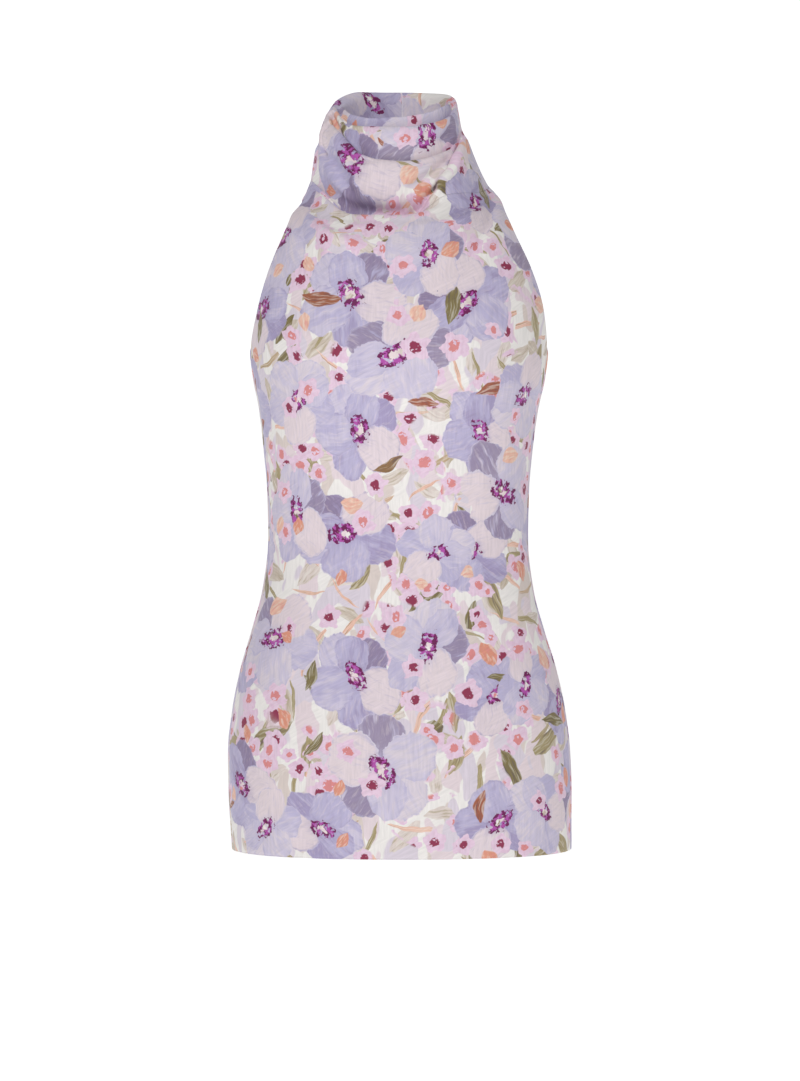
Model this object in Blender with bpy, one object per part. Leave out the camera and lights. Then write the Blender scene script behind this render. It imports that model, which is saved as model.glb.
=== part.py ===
"""Sleeveless halter top with a draped cowl collar, filled out as it hangs when worn.

The top faces -Y and stands up along +Z. The origin is the middle of the neck, level with
the seam that joins the collar to the body. Each cut piece is a wall of cloth: its middle
surface is a grid of points lofted through rows, and half the cloth lies on either side.
The pieces are the front, the two halves of the back and the collar, which is folded over
at its rim and falls in two swags inside the third swag that the front makes.
"""

import math
from collections import namedtuple

import bpy
import numpy as np

MM = 0.001

# Driving sizes. Lengths are in millimetres and angles in degrees.
CLOTH = 1.5
SEAM_GAP = 0.3
FOLD_LIMIT = 0.6
TORSO_Y = -12.0
SIDE_SEAM_FORWARD = 18.0
SEAM_TO_SILHOUETTE = 0.985
FRONT_TURN = 80.0
BACK_TURN = 100.0
NECK_TURN = 98.0
BELLY_TURN = 92.0
NECK_X = 2.8
SQUARENESS = 0.035
EDGE_LEVELLING = 1.6

FRONT_COLUMNS = 40
BACK_COLUMNS = 12

# The body: a level section for each row. The depths run forward and back from the plane
# TORSO_Y, in which the section is widest, and cuts is the number of strips up to the next row.
Section = namedtuple("Section", "height centre half_width front back cuts")
BODY = (
    Section(-612.0, 2.5, 158.0, 114.0, 116.0, 1),
    Section(-558.0, 1.0, 160.0, 112.0, 118.0, 1),
    Section(-521.0, 0.0, 159.5, 109.0, 116.0, 1),
    Section(-484.0, -0.3, 155.3, 105.0, 111.0, 1),
    Section(-446.0, -0.6, 147.4, 100.0, 104.0, 1),
    Section(-409.0, -1.0, 136.2, 94.0, 96.0, 1),
    Section(-372.0, -1.0, 126.3, 89.0, 89.0, 1),
    Section(-325.0, -0.8, 120.9, 86.0, 84.0, 1),
    Section(-279.0, -0.8, 121.9, 90.0, 83.0, 1),
    Section(-242.0, -0.8, 125.2, 99.0, 86.0, 1),
    Section(-205.0, -0.4, 129.9, 112.0, 92.0, 1),
    Section(-176.0, 0.0, 136.0, 121.0, 96.0, 1),
    Section(-150.0, 0.0, 139.0, 125.0, 99.0, 2),
)

# Above the underarm a panel narrows to the neck. Each row is an arc from one armhole edge,
# through the middle, to the other edge, and turn is the angle of ellipse that it covers.
Arc = namedtuple("Arc", "edge_z centre_x edge_x edge_y centre_z centre_y turn cuts")
FRONT_YOKE = (
    Arc(-115.0, 1.4, 131.7, -52.0, -128.0, -133.0, 74.0, 2),
    Arc(-79.0, 1.2, 120.7, -62.0, -108.0, -128.0, 68.0, 2),
    Arc(-42.0, 0.3, 104.8, -58.0, -88.0, -121.0, 70.0, 2),
    Arc(-21.0, 0.6, 96.3, -40.0, -64.0, -113.0, 78.0, 3),
)
BACK_YOKE = (
    Arc(-138.0, 0.0, 130.0, 5.0, -137.0, 88.0, 88.0, 2),
    Arc(-112.0, 0.0, 115.0, 48.0, -111.0, 88.0, 70.0, 2),
    Arc(-75.0, 0.5, 98.0, 56.0, -73.0, 87.0, 62.0, 2),
    Arc(-40.0, 1.0, 88.0, 45.0, -38.0, 81.0, 66.0, 1),
    Arc(-14.0, 2.0, 86.0, 22.0, -12.0, 72.0, 80.0, 1),
)

# The edges of the front's swag: it stands proud of the chest inside them, and fades downwards.
SwagEdge = namedtuple("SwagEdge", "height left right proud")
SWAG_EDGES = (
    SwagEdge(-125.0, -64.0, 22.0, 0.0),
    SwagEdge(-95.0, -69.0, 42.0, 2.0),
    SwagEdge(-60.0, -77.0, 63.0, 6.0),
    SwagEdge(-35.0, -82.0, 76.0, 7.5),
    SwagEdge(-12.0, -85.0, 83.0, 5.0),
    SwagEdge(8.0, -84.0, 83.0, 0.0),
)
SWAG_STEP = 16.0
SWAG_REACH = 75.0

# Round the neck a line is given by its distance from the neck's axis and its height at these
# angles, which run from the back by the wearer's right, seen on the left, to the front.
KEY_ANGLES = (-180.0, -135.0, -90.0, -60.0, -30.0, 0.0, 30.0, 60.0, 90.0, 135.0)
Line = namedtuple("Line", "name cuts radii heights")

# The rows that lead up to the collar's seam. In front they make a swag, over its lip and down
# into the fold where the collar is sewn: it lies open from the left to the middle, and is
# flush with the collar on the right and behind.
FRONT_BELLY = Line("belly", 2,
                   (70, 78, 89.5, 95, 98.5, 99, 96, 91.5, 88, 78),
                   (-9, -9, -4, -16, -37, -39, -30, -15, -4, -9))
NECK_ROWS = (
    Line("lip", 2,
         (68, 77.5, 88, 88, 90, 90, 90, 88, 86.3, 77),
         (-5, -4, 2, -5, -28, -29.5, -19, -12, -2, -5)),
    Line("inside", 1,
         (65.5, 76.2, 87, 84, 84.5, 84, 88.4, 86.7, 85, 76),
         (0, 1, 5, -9.5, -35, -37, -16, -10.5, 0, -1)),
    Line("fold", 1,
         (63, 75, 86, 80.5, 80, 79.5, 86.9, 85.2, 83.3, 74.7),
         (4, 5, 7.7, -13, -41, -43, -13.3, -8.8, 1.5, 3)),
    Line("seam", 1,
         (61, 73.7, 85, 77.5, 76, 75, 85.4, 83.5, 81.5, 73.3),
         (8, 9, 10, -9, -36, -38, -10.5, -7, 3, 7)),
)

# The collar: the second swag closes on the right under the side's own fold, and the first
# swag closes on the left under the rim. Behind each lip is a pocket.
COLLAR = (
    NECK_ROWS[-1],
    Line("rise", 1,
         (60.7, 73, 84.3, 77.5, 76, 75, 82.4, 75, 72.5, 70),
         (14, 15, 15, -3, -31, -33, -3, 12, 19, 14)),
    Line("side lip", 2,
         (60, 71, 83.5, 78, 76.5, 76, 79, 66, 60.5, 66),
         (24, 25, 22, 4, -24, -26, 5, 45, 48, 27)),
    Line("side fold", 1,
         (59, 69, 82.3, 79.5, 78.5, 78.3, 73.2, 63.4, 58.4, 64),
         (31, 33, 30, 11, -15, -16, -1, 42, 51.5, 35)),
    Line("belly", 1,
         (58.6, 67, 80.8, 80.5, 81, 79.8, 72.6, 62.1, 57.4, 62.5),
         (38, 41, 39, 19, -3, -3, 9, 41, 53.3, 42)),
    Line("crease", 1,
         (58, 65.5, 77.2, 77.5, 79.5, 79, 72, 61.1, 56.6, 61),
         (46, 49, 46, 29, 7, 6, 15, 40.7, 55, 49)),
    Line("roll", 1,
         (57, 64, 75.5, 77.5, 78, 76.5, 70.6, 60.2, 55.8, 59.5),
         (54, 57, 57, 41, 16, 14, 22, 41, 57, 56)),
    Line("lip", 2,
         (56.4, 62, 70.5, 71.5, 72.5, 71.5, 67, 59.3, 55.2, 58.5),
         (62, 66, 71, 53, 26, 20.5, 27.5, 42, 59, 63)),
    Line("pocket", 2,
         (55.7, 60.5, 67.3, 65, 66.5, 65.5, 62.5, 58.3, 54.4, 57.5),
         (70, 74, 76.5, 48, 17, 10, 18, 44.5, 63, 70)),
    Line("bib", 2,
         (54.5, 59, 65.5, 63.7, 65.5, 64.8, 61.7, 56.3, 52.8, 56),
         (85, 87, 79, 54, 38, 36, 41, 56, 72, 83)),
    Line("rim", 2,
         (53, 55.5, 63.5, 61, 59, 58, 56.5, 53.5, 50, 52.5),
         (99.3, 98, 80, 59, 54.5, 53.7, 58.5, 68.5, 83, 96)),
    Line("groove", 2,
         (49.8, 52.3, 59.5, 57, 54.5, 53, 51.5, 49.5, 47, 49.3),
         (97.3, 95.5, 77, 55, 47.5, 45.5, 50, 63, 80, 94.3)),
    Line("inner roll", 2,
         (47.5, 50, 55.5, 52.5, 49.5, 47, 46, 45.5, 44.3, 47),
         (89, 88, 79, 68, 63, 64, 68.5, 77, 83, 88)),
    Line("facing", 1,
         (47, 49.5, 51, 47, 43.5, 41, 41.5, 42.5, 43.5, 46),
         (68, 66, 58, 51, 46, 46, 49, 56, 64, 67)),
    Line("facing hem", 1,
         (46.5, 47, 47.5, 43.5, 40.5, 39, 39.5, 40.5, 42, 44),
         (44, 43, 38, 33, 31, 30, 32, 38, 46, 45)),
)

Finish = namedtuple("Finish", "colour roughness")
FINISHES = {
    "front_cloth": Finish((0.80, 0.76, 0.86), 0.55),
    "back_cloth": Finish((0.76, 0.73, 0.84), 0.55),
    "collar_cloth": Finish((0.78, 0.75, 0.87), 0.55),
}


def spline(at, knots, values):
    """Values of a smooth curve through rows of values at rising knots, read at the places at.

    The curve never swings past a row: its slope there is zero where the values turn back, and
    elsewhere a harmonic mean of the slopes on both sides.
    """
    values = np.asarray(values, float)
    shape = (-1,) + (1,) * (values.ndim - 1)
    step = np.diff(knots).reshape(shape)
    secant = np.diff(values, axis=0) / step
    before, after = secant[:-1], secant[1:]
    weight_before, weight_after = 2 * step[1:] + step[:-1], step[1:] + 2 * step[:-1]
    same_way = before * after > 0
    share = np.where(same_way, weight_before * after + weight_after * before, 1.0)
    inner = np.where(same_way, (weight_before + weight_after) * before * after / share, 0.0)
    slopes = np.concatenate([secant[:1], inner, secant[-1:]])
    low = np.clip(np.searchsorted(knots, at, side="right") - 1, 0, len(knots) - 2)
    width = step[low]
    part = (at - knots[low]).reshape(shape) / width
    start = (1 + 2 * part) * (1 - part) ** 2 * values[low]
    end = part**2 * (3 - 2 * part) * values[low + 1]
    leaving = part * (1 - part) ** 2 * width * slopes[low]
    reaching = part**2 * (part - 1) * width * slopes[low + 1]
    return start + end + leaving + reaching


def square(angle):
    """How far a section swells past an ellipse at an angle, to sit as flat as a torso does."""
    return 1 + SQUARENESS * np.sin(2 * angle) ** 2


def arc_points(arc, across):
    """Points of one row. across runs from -1 at the left edge to 1 at the right edge."""
    turn = math.radians(arc.turn)
    angle = across * turn
    width = arc.edge_x / (math.sin(turn) * square(turn))
    sweep = 1 - math.cos(turn) * square(turn)
    towards_edge = (1 - np.cos(angle) * square(angle)) / sweep
    x = arc.centre_x + width * np.sin(angle) * square(angle)
    y = arc.centre_y + (arc.edge_y - arc.centre_y) * towards_edge
    z = arc.edge_z + (arc.centre_z - arc.edge_z) * (1 - towards_edge) ** EDGE_LEVELLING
    return np.stack([x, y, z], axis=-1)


def line_points(line, degrees):
    """Points of a line round the neck at these angles, from -180 at the back through 0 in front."""
    turns = np.array([-360.0, 0.0, 360.0])
    knots = (np.array(KEY_ANGLES) + turns[:, None]).ravel()
    place = spline(degrees, knots, np.tile(np.stack([line.radii, line.heights], -1), (3, 1)))
    angle = np.radians(degrees)
    radius, height = place[:, 0], place[:, 1]
    return np.stack([NECK_X + radius * np.sin(angle), -radius * np.cos(angle), height], axis=-1)


def body_arc(section, depth, turn):
    """The half of a level section between the side seams, in front or behind, as an arc."""
    return Arc(
        section.height,
        section.centre,
        section.half_width * SEAM_TO_SILHOUETTE,
        TORSO_Y - SIDE_SEAM_FORWARD,
        section.height,
        TORSO_Y + depth,
        turn,
        section.cuts,
    )


def loft(rows, cuts):
    """A grid of points through rows of points, with cuts[i] strips between row i and the next."""
    rows = np.array(rows)
    gaps = np.linalg.norm(np.diff(rows, axis=0), axis=-1).mean(axis=1)
    knots = np.concatenate([[0.0], np.cumsum(gaps)])
    places = [np.linspace(a, b, n, endpoint=False) for a, b, n in zip(knots, knots[1:], cuts)]
    return spline(np.concatenate(places + [knots[-1:]]), knots, rows)


def trimmed(grid):
    """The grid with its four borders drawn in by half a seam's gap."""
    grid = grid.copy()
    for axis in (0, 1):
        lines = np.moveaxis(grid, axis, 0)
        for end, inner in ((0, 1), (-1, -2)):
            inwards = lines[inner] - lines[end]
            inwards /= np.linalg.norm(inwards, axis=-1, keepdims=True)
            lines[end] += inwards * SEAM_GAP / 2
    return grid


def soft(share):
    """A share from 0 to 1, eased at both ends."""
    share = np.clip(share, 0.0, 1.0)
    return share * share * (3 - 2 * share)


def swag_height(grid):
    """How far the front's swag stands proud at each point of a grid."""
    x, z = grid[..., 0], grid[..., 2]
    knots, left, right, proud = zip(*SWAG_EDGES)
    height = np.zeros_like(x)
    for inside in (x - np.interp(z, knots, left), np.interp(z, knots, right) - x):
        height += soft(inside / SWAG_STEP) * (1 - soft((inside - SWAG_STEP) / SWAG_REACH))
    return height * np.interp(z, knots, proud)


def front_grid():
    """The front, from its hem to the collar's seam, with the swag that it makes at the neck."""
    across = np.linspace(-1.0, 1.0, FRONT_COLUMNS + 1)
    arcs = [body_arc(section, -section.front, FRONT_TURN) for section in BODY] + list(FRONT_YOKE)
    rows = [arc_points(arc, across) for arc in arcs]
    rows.append(line_points(FRONT_BELLY, across * BELLY_TURN))
    rows += [line_points(line, across * NECK_TURN) for line in NECK_ROWS]
    grid = loft(rows, [row.cuts for row in (*arcs, FRONT_BELLY, *NECK_ROWS)][:-1])
    chest = sum(row.cuts for row in arcs)
    outwards = grid[:chest] * (1.0, 1.0, 0.0)
    outwards /= np.linalg.norm(outwards, axis=-1, keepdims=True)
    grid[:chest] += outwards * swag_height(grid[:chest])[..., None]
    return grid


def back_grid(side):
    """One half of the back, from its hem to the collar's seam.

    side is -1 for the half on the left as the top is seen from the front, and 1 for the other.
    """
    across = np.linspace(max(side, 0.0), min(side, 0.0), BACK_COLUMNS + 1)
    arcs = [body_arc(section, section.back, BACK_TURN) for section in BODY] + list(BACK_YOKE)
    rows = [arc_points(arc, across) for arc in arcs]
    rows += [line_points(line, 180.0 - across * (180.0 - NECK_TURN)) for line in NECK_ROWS]
    return loft(rows, [row.cuts for row in (*arcs, *NECK_ROWS)][:-1])


def collar_grid():
    """The collar, from its seam up through two swags, over the rim and down to its inner hem."""
    front = np.linspace(-NECK_TURN, NECK_TURN, FRONT_COLUMNS + 1)
    back = np.linspace(NECK_TURN, 180.0, BACK_COLUMNS + 1)
    degrees = np.concatenate([-back[:0:-1], front, back[1:]])
    rows = [line_points(line, degrees) for line in COLLAR]
    return loft(rows, [line.cuts for line in COLLAR][:-1])


def around(faces):
    """For each point of a grid, the mean over the faces that meet there."""
    padded = np.pad(faces, ((1, 1), (1, 1), (0, 0)), mode="edge")
    return (padded[:-1, :-1] + padded[:-1, 1:] + padded[1:, :-1] + padded[1:, 1:]) / 4


def offsets(grid):
    """How far each point moves for half the cloth: more at a fold, where the faces turn."""
    rising = grid[1:, 1:] - grid[:-1, :-1]
    falling = grid[1:, :-1] - grid[:-1, 1:]
    facing = np.cross(rising, falling)
    facing /= np.linalg.norm(facing, axis=-1, keepdims=True)
    mean = around(facing)
    length = np.linalg.norm(mean, axis=-1, keepdims=True)
    return mean / length / np.clip(length, FOLD_LIMIT, 1.0) * CLOTH / 2


def wall(name, grid, finish, seam_row):
    """An object whose mesh is the grid thickened to a closed wall of cloth.

    The row that is sewn at the neck is thickened level, so that both its sides butt there.
    """
    rows, columns = grid.shape[:2]
    offset = offsets(grid)
    outwards = grid[seam_row] * (1.0, 1.0, 0.0)
    offset[seam_row] = outwards / np.linalg.norm(outwards, axis=-1, keepdims=True) * CLOTH / 2
    points = np.concatenate([(grid + offset).reshape(-1, 3), (grid - offset).reshape(-1, 3)]) * MM
    outer = np.arange(rows * columns).reshape(rows, columns)
    inner = outer + rows * columns
    corners = (outer[:-1, :-1], outer[:-1, 1:], outer[1:, 1:], outer[1:, :-1])
    outside = np.stack(corners, axis=-1).reshape(-1, 4)
    faces = [outside, outside[:, ::-1] + rows * columns]
    border = np.concatenate([outer[0, :-1], outer[:-1, -1], outer[-1, :0:-1], outer[:0:-1, 0]])
    after = np.roll(border, -1)
    faces.append(np.stack([after, border, border + inner[0, 0], after + inner[0, 0]], axis=-1))
    mesh = bpy.data.meshes.new(name)
    mesh.from_pydata(points.tolist(), [], np.concatenate(faces).tolist())
    mesh.shade_smooth()
    mesh.materials.append(finish)
    piece = bpy.data.objects.new(name, mesh)
    bpy.context.scene.collection.objects.link(piece)
    return piece


def cloth_finish(name, finish):
    """A plain cloth material in the piece's own overall colour."""
    material = bpy.data.materials.new(name)
    material.use_nodes = True
    shader = material.node_tree.nodes["Principled BSDF"]
    shader.inputs["Base Color"].default_value = (*finish.colour, 1.0)
    shader.inputs["Roughness"].default_value = finish.roughness
    return material


def clear_scene():
    """Removes whatever the scene holds."""
    for item in list(bpy.data.objects):
        bpy.data.objects.remove(item)


def main():
    """Builds the four pieces of the top."""
    clear_scene()
    cloth = {name: cloth_finish(name, finish) for name, finish in FINISHES.items()}
    wall("front", trimmed(front_grid()), cloth["front_cloth"], -1)
    wall("back_left", trimmed(back_grid(-1)), cloth["back_cloth"], -1)
    wall("back_right", trimmed(back_grid(1)), cloth["back_cloth"], -1)
    wall("collar", trimmed(collar_grid()), cloth["collar_cloth"], 0)


main()
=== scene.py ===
"""A sleeveless halter top with a draped cowl collar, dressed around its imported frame.

Lengths are in millimetres until a mesh is made, and in metres in the meshes. The top faces -Y,
its origin is the middle of the neck, and the left is the left of a viewer who faces the front.
"""
import logging
import math
from dataclasses import dataclass, field
from enum import Enum

import bpy
import numpy as np
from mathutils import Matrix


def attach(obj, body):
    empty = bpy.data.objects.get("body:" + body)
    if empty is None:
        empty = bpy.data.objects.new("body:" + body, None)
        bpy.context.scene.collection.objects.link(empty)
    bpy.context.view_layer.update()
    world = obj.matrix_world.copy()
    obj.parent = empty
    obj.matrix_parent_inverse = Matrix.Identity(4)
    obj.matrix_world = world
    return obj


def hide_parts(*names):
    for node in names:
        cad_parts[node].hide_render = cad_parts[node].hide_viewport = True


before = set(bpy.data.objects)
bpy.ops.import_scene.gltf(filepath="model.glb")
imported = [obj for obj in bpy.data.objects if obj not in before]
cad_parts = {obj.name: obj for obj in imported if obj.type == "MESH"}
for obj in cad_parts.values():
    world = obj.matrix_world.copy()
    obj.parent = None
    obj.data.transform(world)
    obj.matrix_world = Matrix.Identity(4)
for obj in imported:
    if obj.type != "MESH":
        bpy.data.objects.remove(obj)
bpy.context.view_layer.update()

LOG = logging.getLogger("halter_top")
MM = 0.001
Points = np.ndarray
TURN = 2 * math.pi
SHOULDER_AT, SHOULDER_SHARPNESS = 1.7, 1.6
FADED_PART = 0.4


class Side(Enum):
    """The two halves of the back, named for the side of the front view on which they lie."""

    LEFT = -1
    RIGHT = 1


class Face(Enum):
    """The faces of the cloth, with the value that the reverse attribute has on each."""

    PRINTED = 0.0
    REVERSE = 1.0
    EDGE = 0.5


# The sizes of the top.


@dataclass(frozen=True)
class Level:
    """A level section of the body, with its depths from the plane in which it is widest."""

    height: float
    centre: float
    half_width: float
    front: float
    back: float


@dataclass(frozen=True)
class Reach:
    """A row of a panel: an arc from one edge, through the middle, to the other edge.

    Each of its halves covers turn degrees of an ellipse, and edge_x is its half width.
    """

    edge_z: float
    centre_x: float
    edge_x: float
    edge_y: float
    centre_z: float
    centre_y: float
    turn: float


@dataclass(frozen=True)
class NeckLine:
    """A line round the neck, by its distance from the neck's axis and its height at key angles."""

    name: str
    radii: tuple[float, ...]
    heights: tuple[float, ...]


@dataclass(frozen=True)
class SwagEdge:
    """The left and right edge of the front's swag at a height, and how far it stands proud."""

    height: float
    left: float
    right: float
    proud: float


@dataclass(frozen=True)
class Crease:
    """A soft trough, or a ridge where its depth is negative, placed on a panel.

    Args:
        path: places on the panel, each as across and row, in the panel's own measures.
        depth: how deep its middle lies.
        width: the distance at which its depth has fallen to a third.
        lip: the share of the depth that its two shoulders stand proud.
        start: the share of the depth that it has at its first end.
        end: the share of the depth that it has at its last end.
    """

    path: tuple[tuple[float, float], ...]
    depth: float
    width: float
    lip: float = 0.3
    start: float = 0.0
    end: float = 0.0


KEY_ANGLES = (-180.0, -135.0, -90.0, -60.0, -30.0, 0.0, 30.0, 60.0, 90.0, 135.0)
NECK_X = 2.8
NECK_TURN = 98.0

BODY = (
    Level(-612, 2.5, 158, 114, 116),
    Level(-558, 1, 160, 112, 118),
    Level(-521, 0, 159.5, 109, 116),
    Level(-484, -0.3, 155.3, 105, 111),
    Level(-446, -0.6, 147.4, 100, 104),
    Level(-409, -1, 136.2, 94, 96),
    Level(-372, -1, 126.3, 89, 89),
    Level(-325, -0.8, 120.9, 86, 84),
    Level(-279, -0.8, 121.9, 90, 83),
    Level(-242, -0.8, 125.2, 99, 86),
    Level(-205, -0.4, 129.9, 112, 92),
    Level(-176, 0, 136, 121, 96),
    Level(-150, 0, 139, 125, 99),
)

NECK_ROWS = (
    NeckLine("lip", (68, 77.5, 88, 88, 90, 90, 90, 88, 86.3, 77),
             (-5, -4, 2, -5, -28, -29.5, -19, -12, -2, -5)),
    NeckLine("inside", (65.5, 76.2, 87, 84, 84.5, 84, 88.4, 86.7, 85, 76),
             (0, 1, 5, -9.5, -35, -37, -16, -10.5, 0, -1)),
    NeckLine("fold", (63, 75, 86, 80.5, 80, 79.5, 86.9, 85.2, 83.3, 74.7),
             (4, 5, 7.7, -13, -41, -43, -13.3, -8.8, 1.5, 3)),
    NeckLine("seam", (61, 73.7, 85, 77.5, 76, 75, 85.4, 83.5, 81.5, 73.3),
             (8, 9, 10, -9, -36, -38, -10.5, -7, 3, 7)),
)

COLLAR_ROWS = (
    NeckLine("rise", (60.7, 73, 84.3, 77.5, 76, 75, 82.4, 75, 72.5, 70),
             (14, 15, 15, -3, -31, -33, -3, 12, 19, 14)),
    NeckLine("side lip", (60, 71, 83.5, 78, 76.5, 76, 79, 66, 60.5, 66),
             (24, 25, 22, 4, -24, -26, 5, 45, 48, 27)),
    NeckLine("side fold", (59, 69, 82.3, 79.5, 78.5, 78.3, 73.2, 63.4, 58.4, 64),
             (31, 33, 30, 11, -15, -16, -1, 42, 51.5, 35)),
    NeckLine("belly", (58.6, 67, 80.8, 80.5, 81, 79.8, 72.6, 62.1, 57.4, 62.5),
             (38, 41, 39, 19, -3, -3, 9, 41, 53.3, 42)),
    NeckLine("crease", (58, 65.5, 77.2, 77.5, 79.5, 79, 72, 61.1, 56.6, 61),
             (46, 49, 46, 29, 7, 6, 15, 40.7, 55, 49)),
    NeckLine("roll", (57, 64, 75.5, 77.5, 78, 76.5, 70.6, 60.2, 55.8, 59.5),
             (54, 57, 57, 41, 16, 14, 22, 41, 57, 56)),
    NeckLine("lip", (56.4, 62, 70.5, 71.5, 72.5, 71.5, 67, 59.3, 55.2, 58.5),
             (62, 66, 71, 53, 26, 20.5, 27.5, 42, 59, 63)),
    NeckLine("pocket", (55.7, 60.5, 67.3, 65, 66.5, 65.5, 62.5, 58.3, 54.4, 57.5),
             (70, 74, 76.5, 48, 17, 10, 18, 44.5, 63, 70)),
    NeckLine("bib", (54.5, 59, 65.5, 63.7, 65.5, 64.8, 61.7, 56.3, 52.8, 56),
             (85, 87, 79, 54, 38, 36, 41, 56, 72, 83)),
    NeckLine("rim", (53, 55.5, 63.5, 61, 59, 58, 56.5, 53.5, 50, 52.5),
             (99.3, 98, 80, 59, 54.5, 53.7, 58.5, 68.5, 83, 96)),
    NeckLine("groove", (49.8, 52.3, 59.5, 57, 54.5, 53, 51.5, 49.5, 47, 49.3),
             (97.3, 95.5, 77, 55, 47.5, 45.5, 50, 63, 80, 94.3)),
    NeckLine("inner roll", (47.5, 50, 55.5, 52.5, 49.5, 47, 46, 45.5, 44.3, 47),
             (89, 88, 79, 68, 63, 64, 68.5, 77, 83, 88)),
    NeckLine("facing", (47, 49.5, 51, 47, 43.5, 41, 41.5, 42.5, 43.5, 46),
             (68, 66, 58, 51, 46, 46, 49, 56, 64, 67)),
    NeckLine("facing hem", (46.5, 47, 47.5, 43.5, 40.5, 39, 39.5, 40.5, 42, 44),
             (44, 43, 38, 33, 31, 30, 32, 38, 46, 45)),
)


# Surfaces.


def spline(at: Points, knots: Points, values: Points) -> Points:
    """A smooth curve through rows of values: a cubic between two rows that never swings past one.

    Its slope at a row is a harmonic mean of the slopes on both sides, or zero where they differ
    in sign.

    Args:
        at: the places to read it at.
        knots: the rising places of the rows.
        values: one row of values for each knot.

    Returns:
        One row for each place.
    """
    values = np.asarray(values, float)
    shape = (-1,) + (1,) * (values.ndim - 1)
    step = np.diff(knots).reshape(shape)
    secant = np.diff(values, axis=0) / step
    before, after = secant[:-1], secant[1:]
    weight_before, weight_after = 2 * step[1:] + step[:-1], step[1:] + 2 * step[:-1]
    same_way = before * after > 0
    share = np.where(same_way, weight_before * after + weight_after * before, 1.0)
    inner = np.where(same_way, (weight_before + weight_after) * before * after / share, 0.0)
    slopes = np.concatenate([secant[:1], inner, secant[-1:]])
    low = np.clip(np.searchsorted(knots, at, side="right") - 1, 0, len(knots) - 2)
    width = step[low]
    part = (at - knots[low]).reshape(shape) / width
    start = (1 + 2 * part) * (1 - part) ** 2 * values[low]
    end = part**2 * (3 - 2 * part) * values[low + 1]
    leaving = part * (1 - part) ** 2 * width * slopes[low]
    reaching = part**2 * (part - 1) * width * slopes[low + 1]
    return start + end + leaving + reaching


def eased(share: Points) -> Points:
    """A share held between 0 and 1 and eased at both ends: 3 s squared less 2 s cubed."""
    share = np.clip(share, 0.0, 1.0)
    return share * share * (3 - 2 * share)


def length(vectors: Points) -> Points:
    """The length of each vector, kept as a last axis of one."""
    return np.linalg.norm(vectors, axis=-1, keepdims=True)


def travelled(steps: Points, axis: int = 0) -> Points:
    """The distance covered up to each point: nought, and the running sum of the steps' lengths."""
    return np.insert(length(steps)[..., 0].cumsum(axis), 0, 0.0, axis)


def smoothed(grid: Points, passes: int, axis: int) -> Points:
    """A grid whose points move to the mean of themselves and their neighbours along one axis.

    Each pass takes a quarter of each neighbour and half of the point, and leaves the two ends.

    Args:
        grid: rows and columns of points.
        passes: how often that is done.
        axis: 0 for up the columns, 1 for along the rows.

    Returns:
        A new grid.
    """
    lines = np.moveaxis(grid, axis, 0).copy()
    for _ in range(passes):
        lines[1:-1] = (lines[:-2] + 2 * lines[1:-1] + lines[2:]) / 4
    return np.moveaxis(lines, 0, axis)


def normals(grid: Points) -> Points:
    """Unit normals of a grid: the cross product of its slopes along the rows and up the columns.

    Args:
        grid: rows and columns of points.

    Returns:
        One normal for each point.
    """
    up, along = np.gradient(grid, axis=0), np.gradient(grid, axis=1)
    facing = np.cross(along, up)
    return facing / length(facing)


def placed(name: str, data: bpy.types.ID) -> bpy.types.Object:
    """A new object of the scene, at the origin.

    Args:
        name: its name.
        data: its mesh, camera or light.

    Returns:
        The object.
    """
    thing = bpy.data.objects.new(name, data)
    bpy.context.scene.collection.objects.link(thing)
    return thing


@dataclass
class Loft:
    """A surface through rows of points, cut into strips of an even width.

    Args:
        rows: the named rows, each with the same number of points.
        step: the width of a strip up the columns.
        before: how many of the first rows only shape the surface and are cut off.
        after: how many of the last rows only shape the surface and are cut off.
        smoothing: passes of smoothing up the columns and along the rows.
    """

    rows: list[Points]
    step: float
    before: int = 0
    after: int = 0
    smoothing: tuple[int, int] = (2, 10)
    places: Points = field(init=False)

    def grid(self) -> Points:
        """The points of the surface, row by row, with places as the row number of each.

        Returns:
            An array of rows, columns and three.
        """
        rows = np.array(self.rows)
        gaps = length(np.diff(rows, axis=0))[..., 0].mean(axis=1)
        knots = np.concatenate([[0.0], np.cumsum(gaps)])
        strips = np.maximum(np.round(gaps / self.step).astype(int), 2)
        spans = [np.arange(n) / n + i for i, n in enumerate(strips)]
        numbers = np.concatenate(spans + [[len(rows) - 1.0]])
        lengths = np.interp(numbers, np.arange(len(rows)), knots)
        surface = spline(lengths, knots, rows)
        surface = smoothed(smoothed(surface, self.smoothing[0], 0), self.smoothing[1], 1)
        first = int(strips[:self.before].sum())
        last = len(numbers) - int(strips[len(strips) - self.after:].sum())
        self.places = numbers[first:last] - self.before
        return surface[first:last]


# The pieces of cloth.


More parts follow.
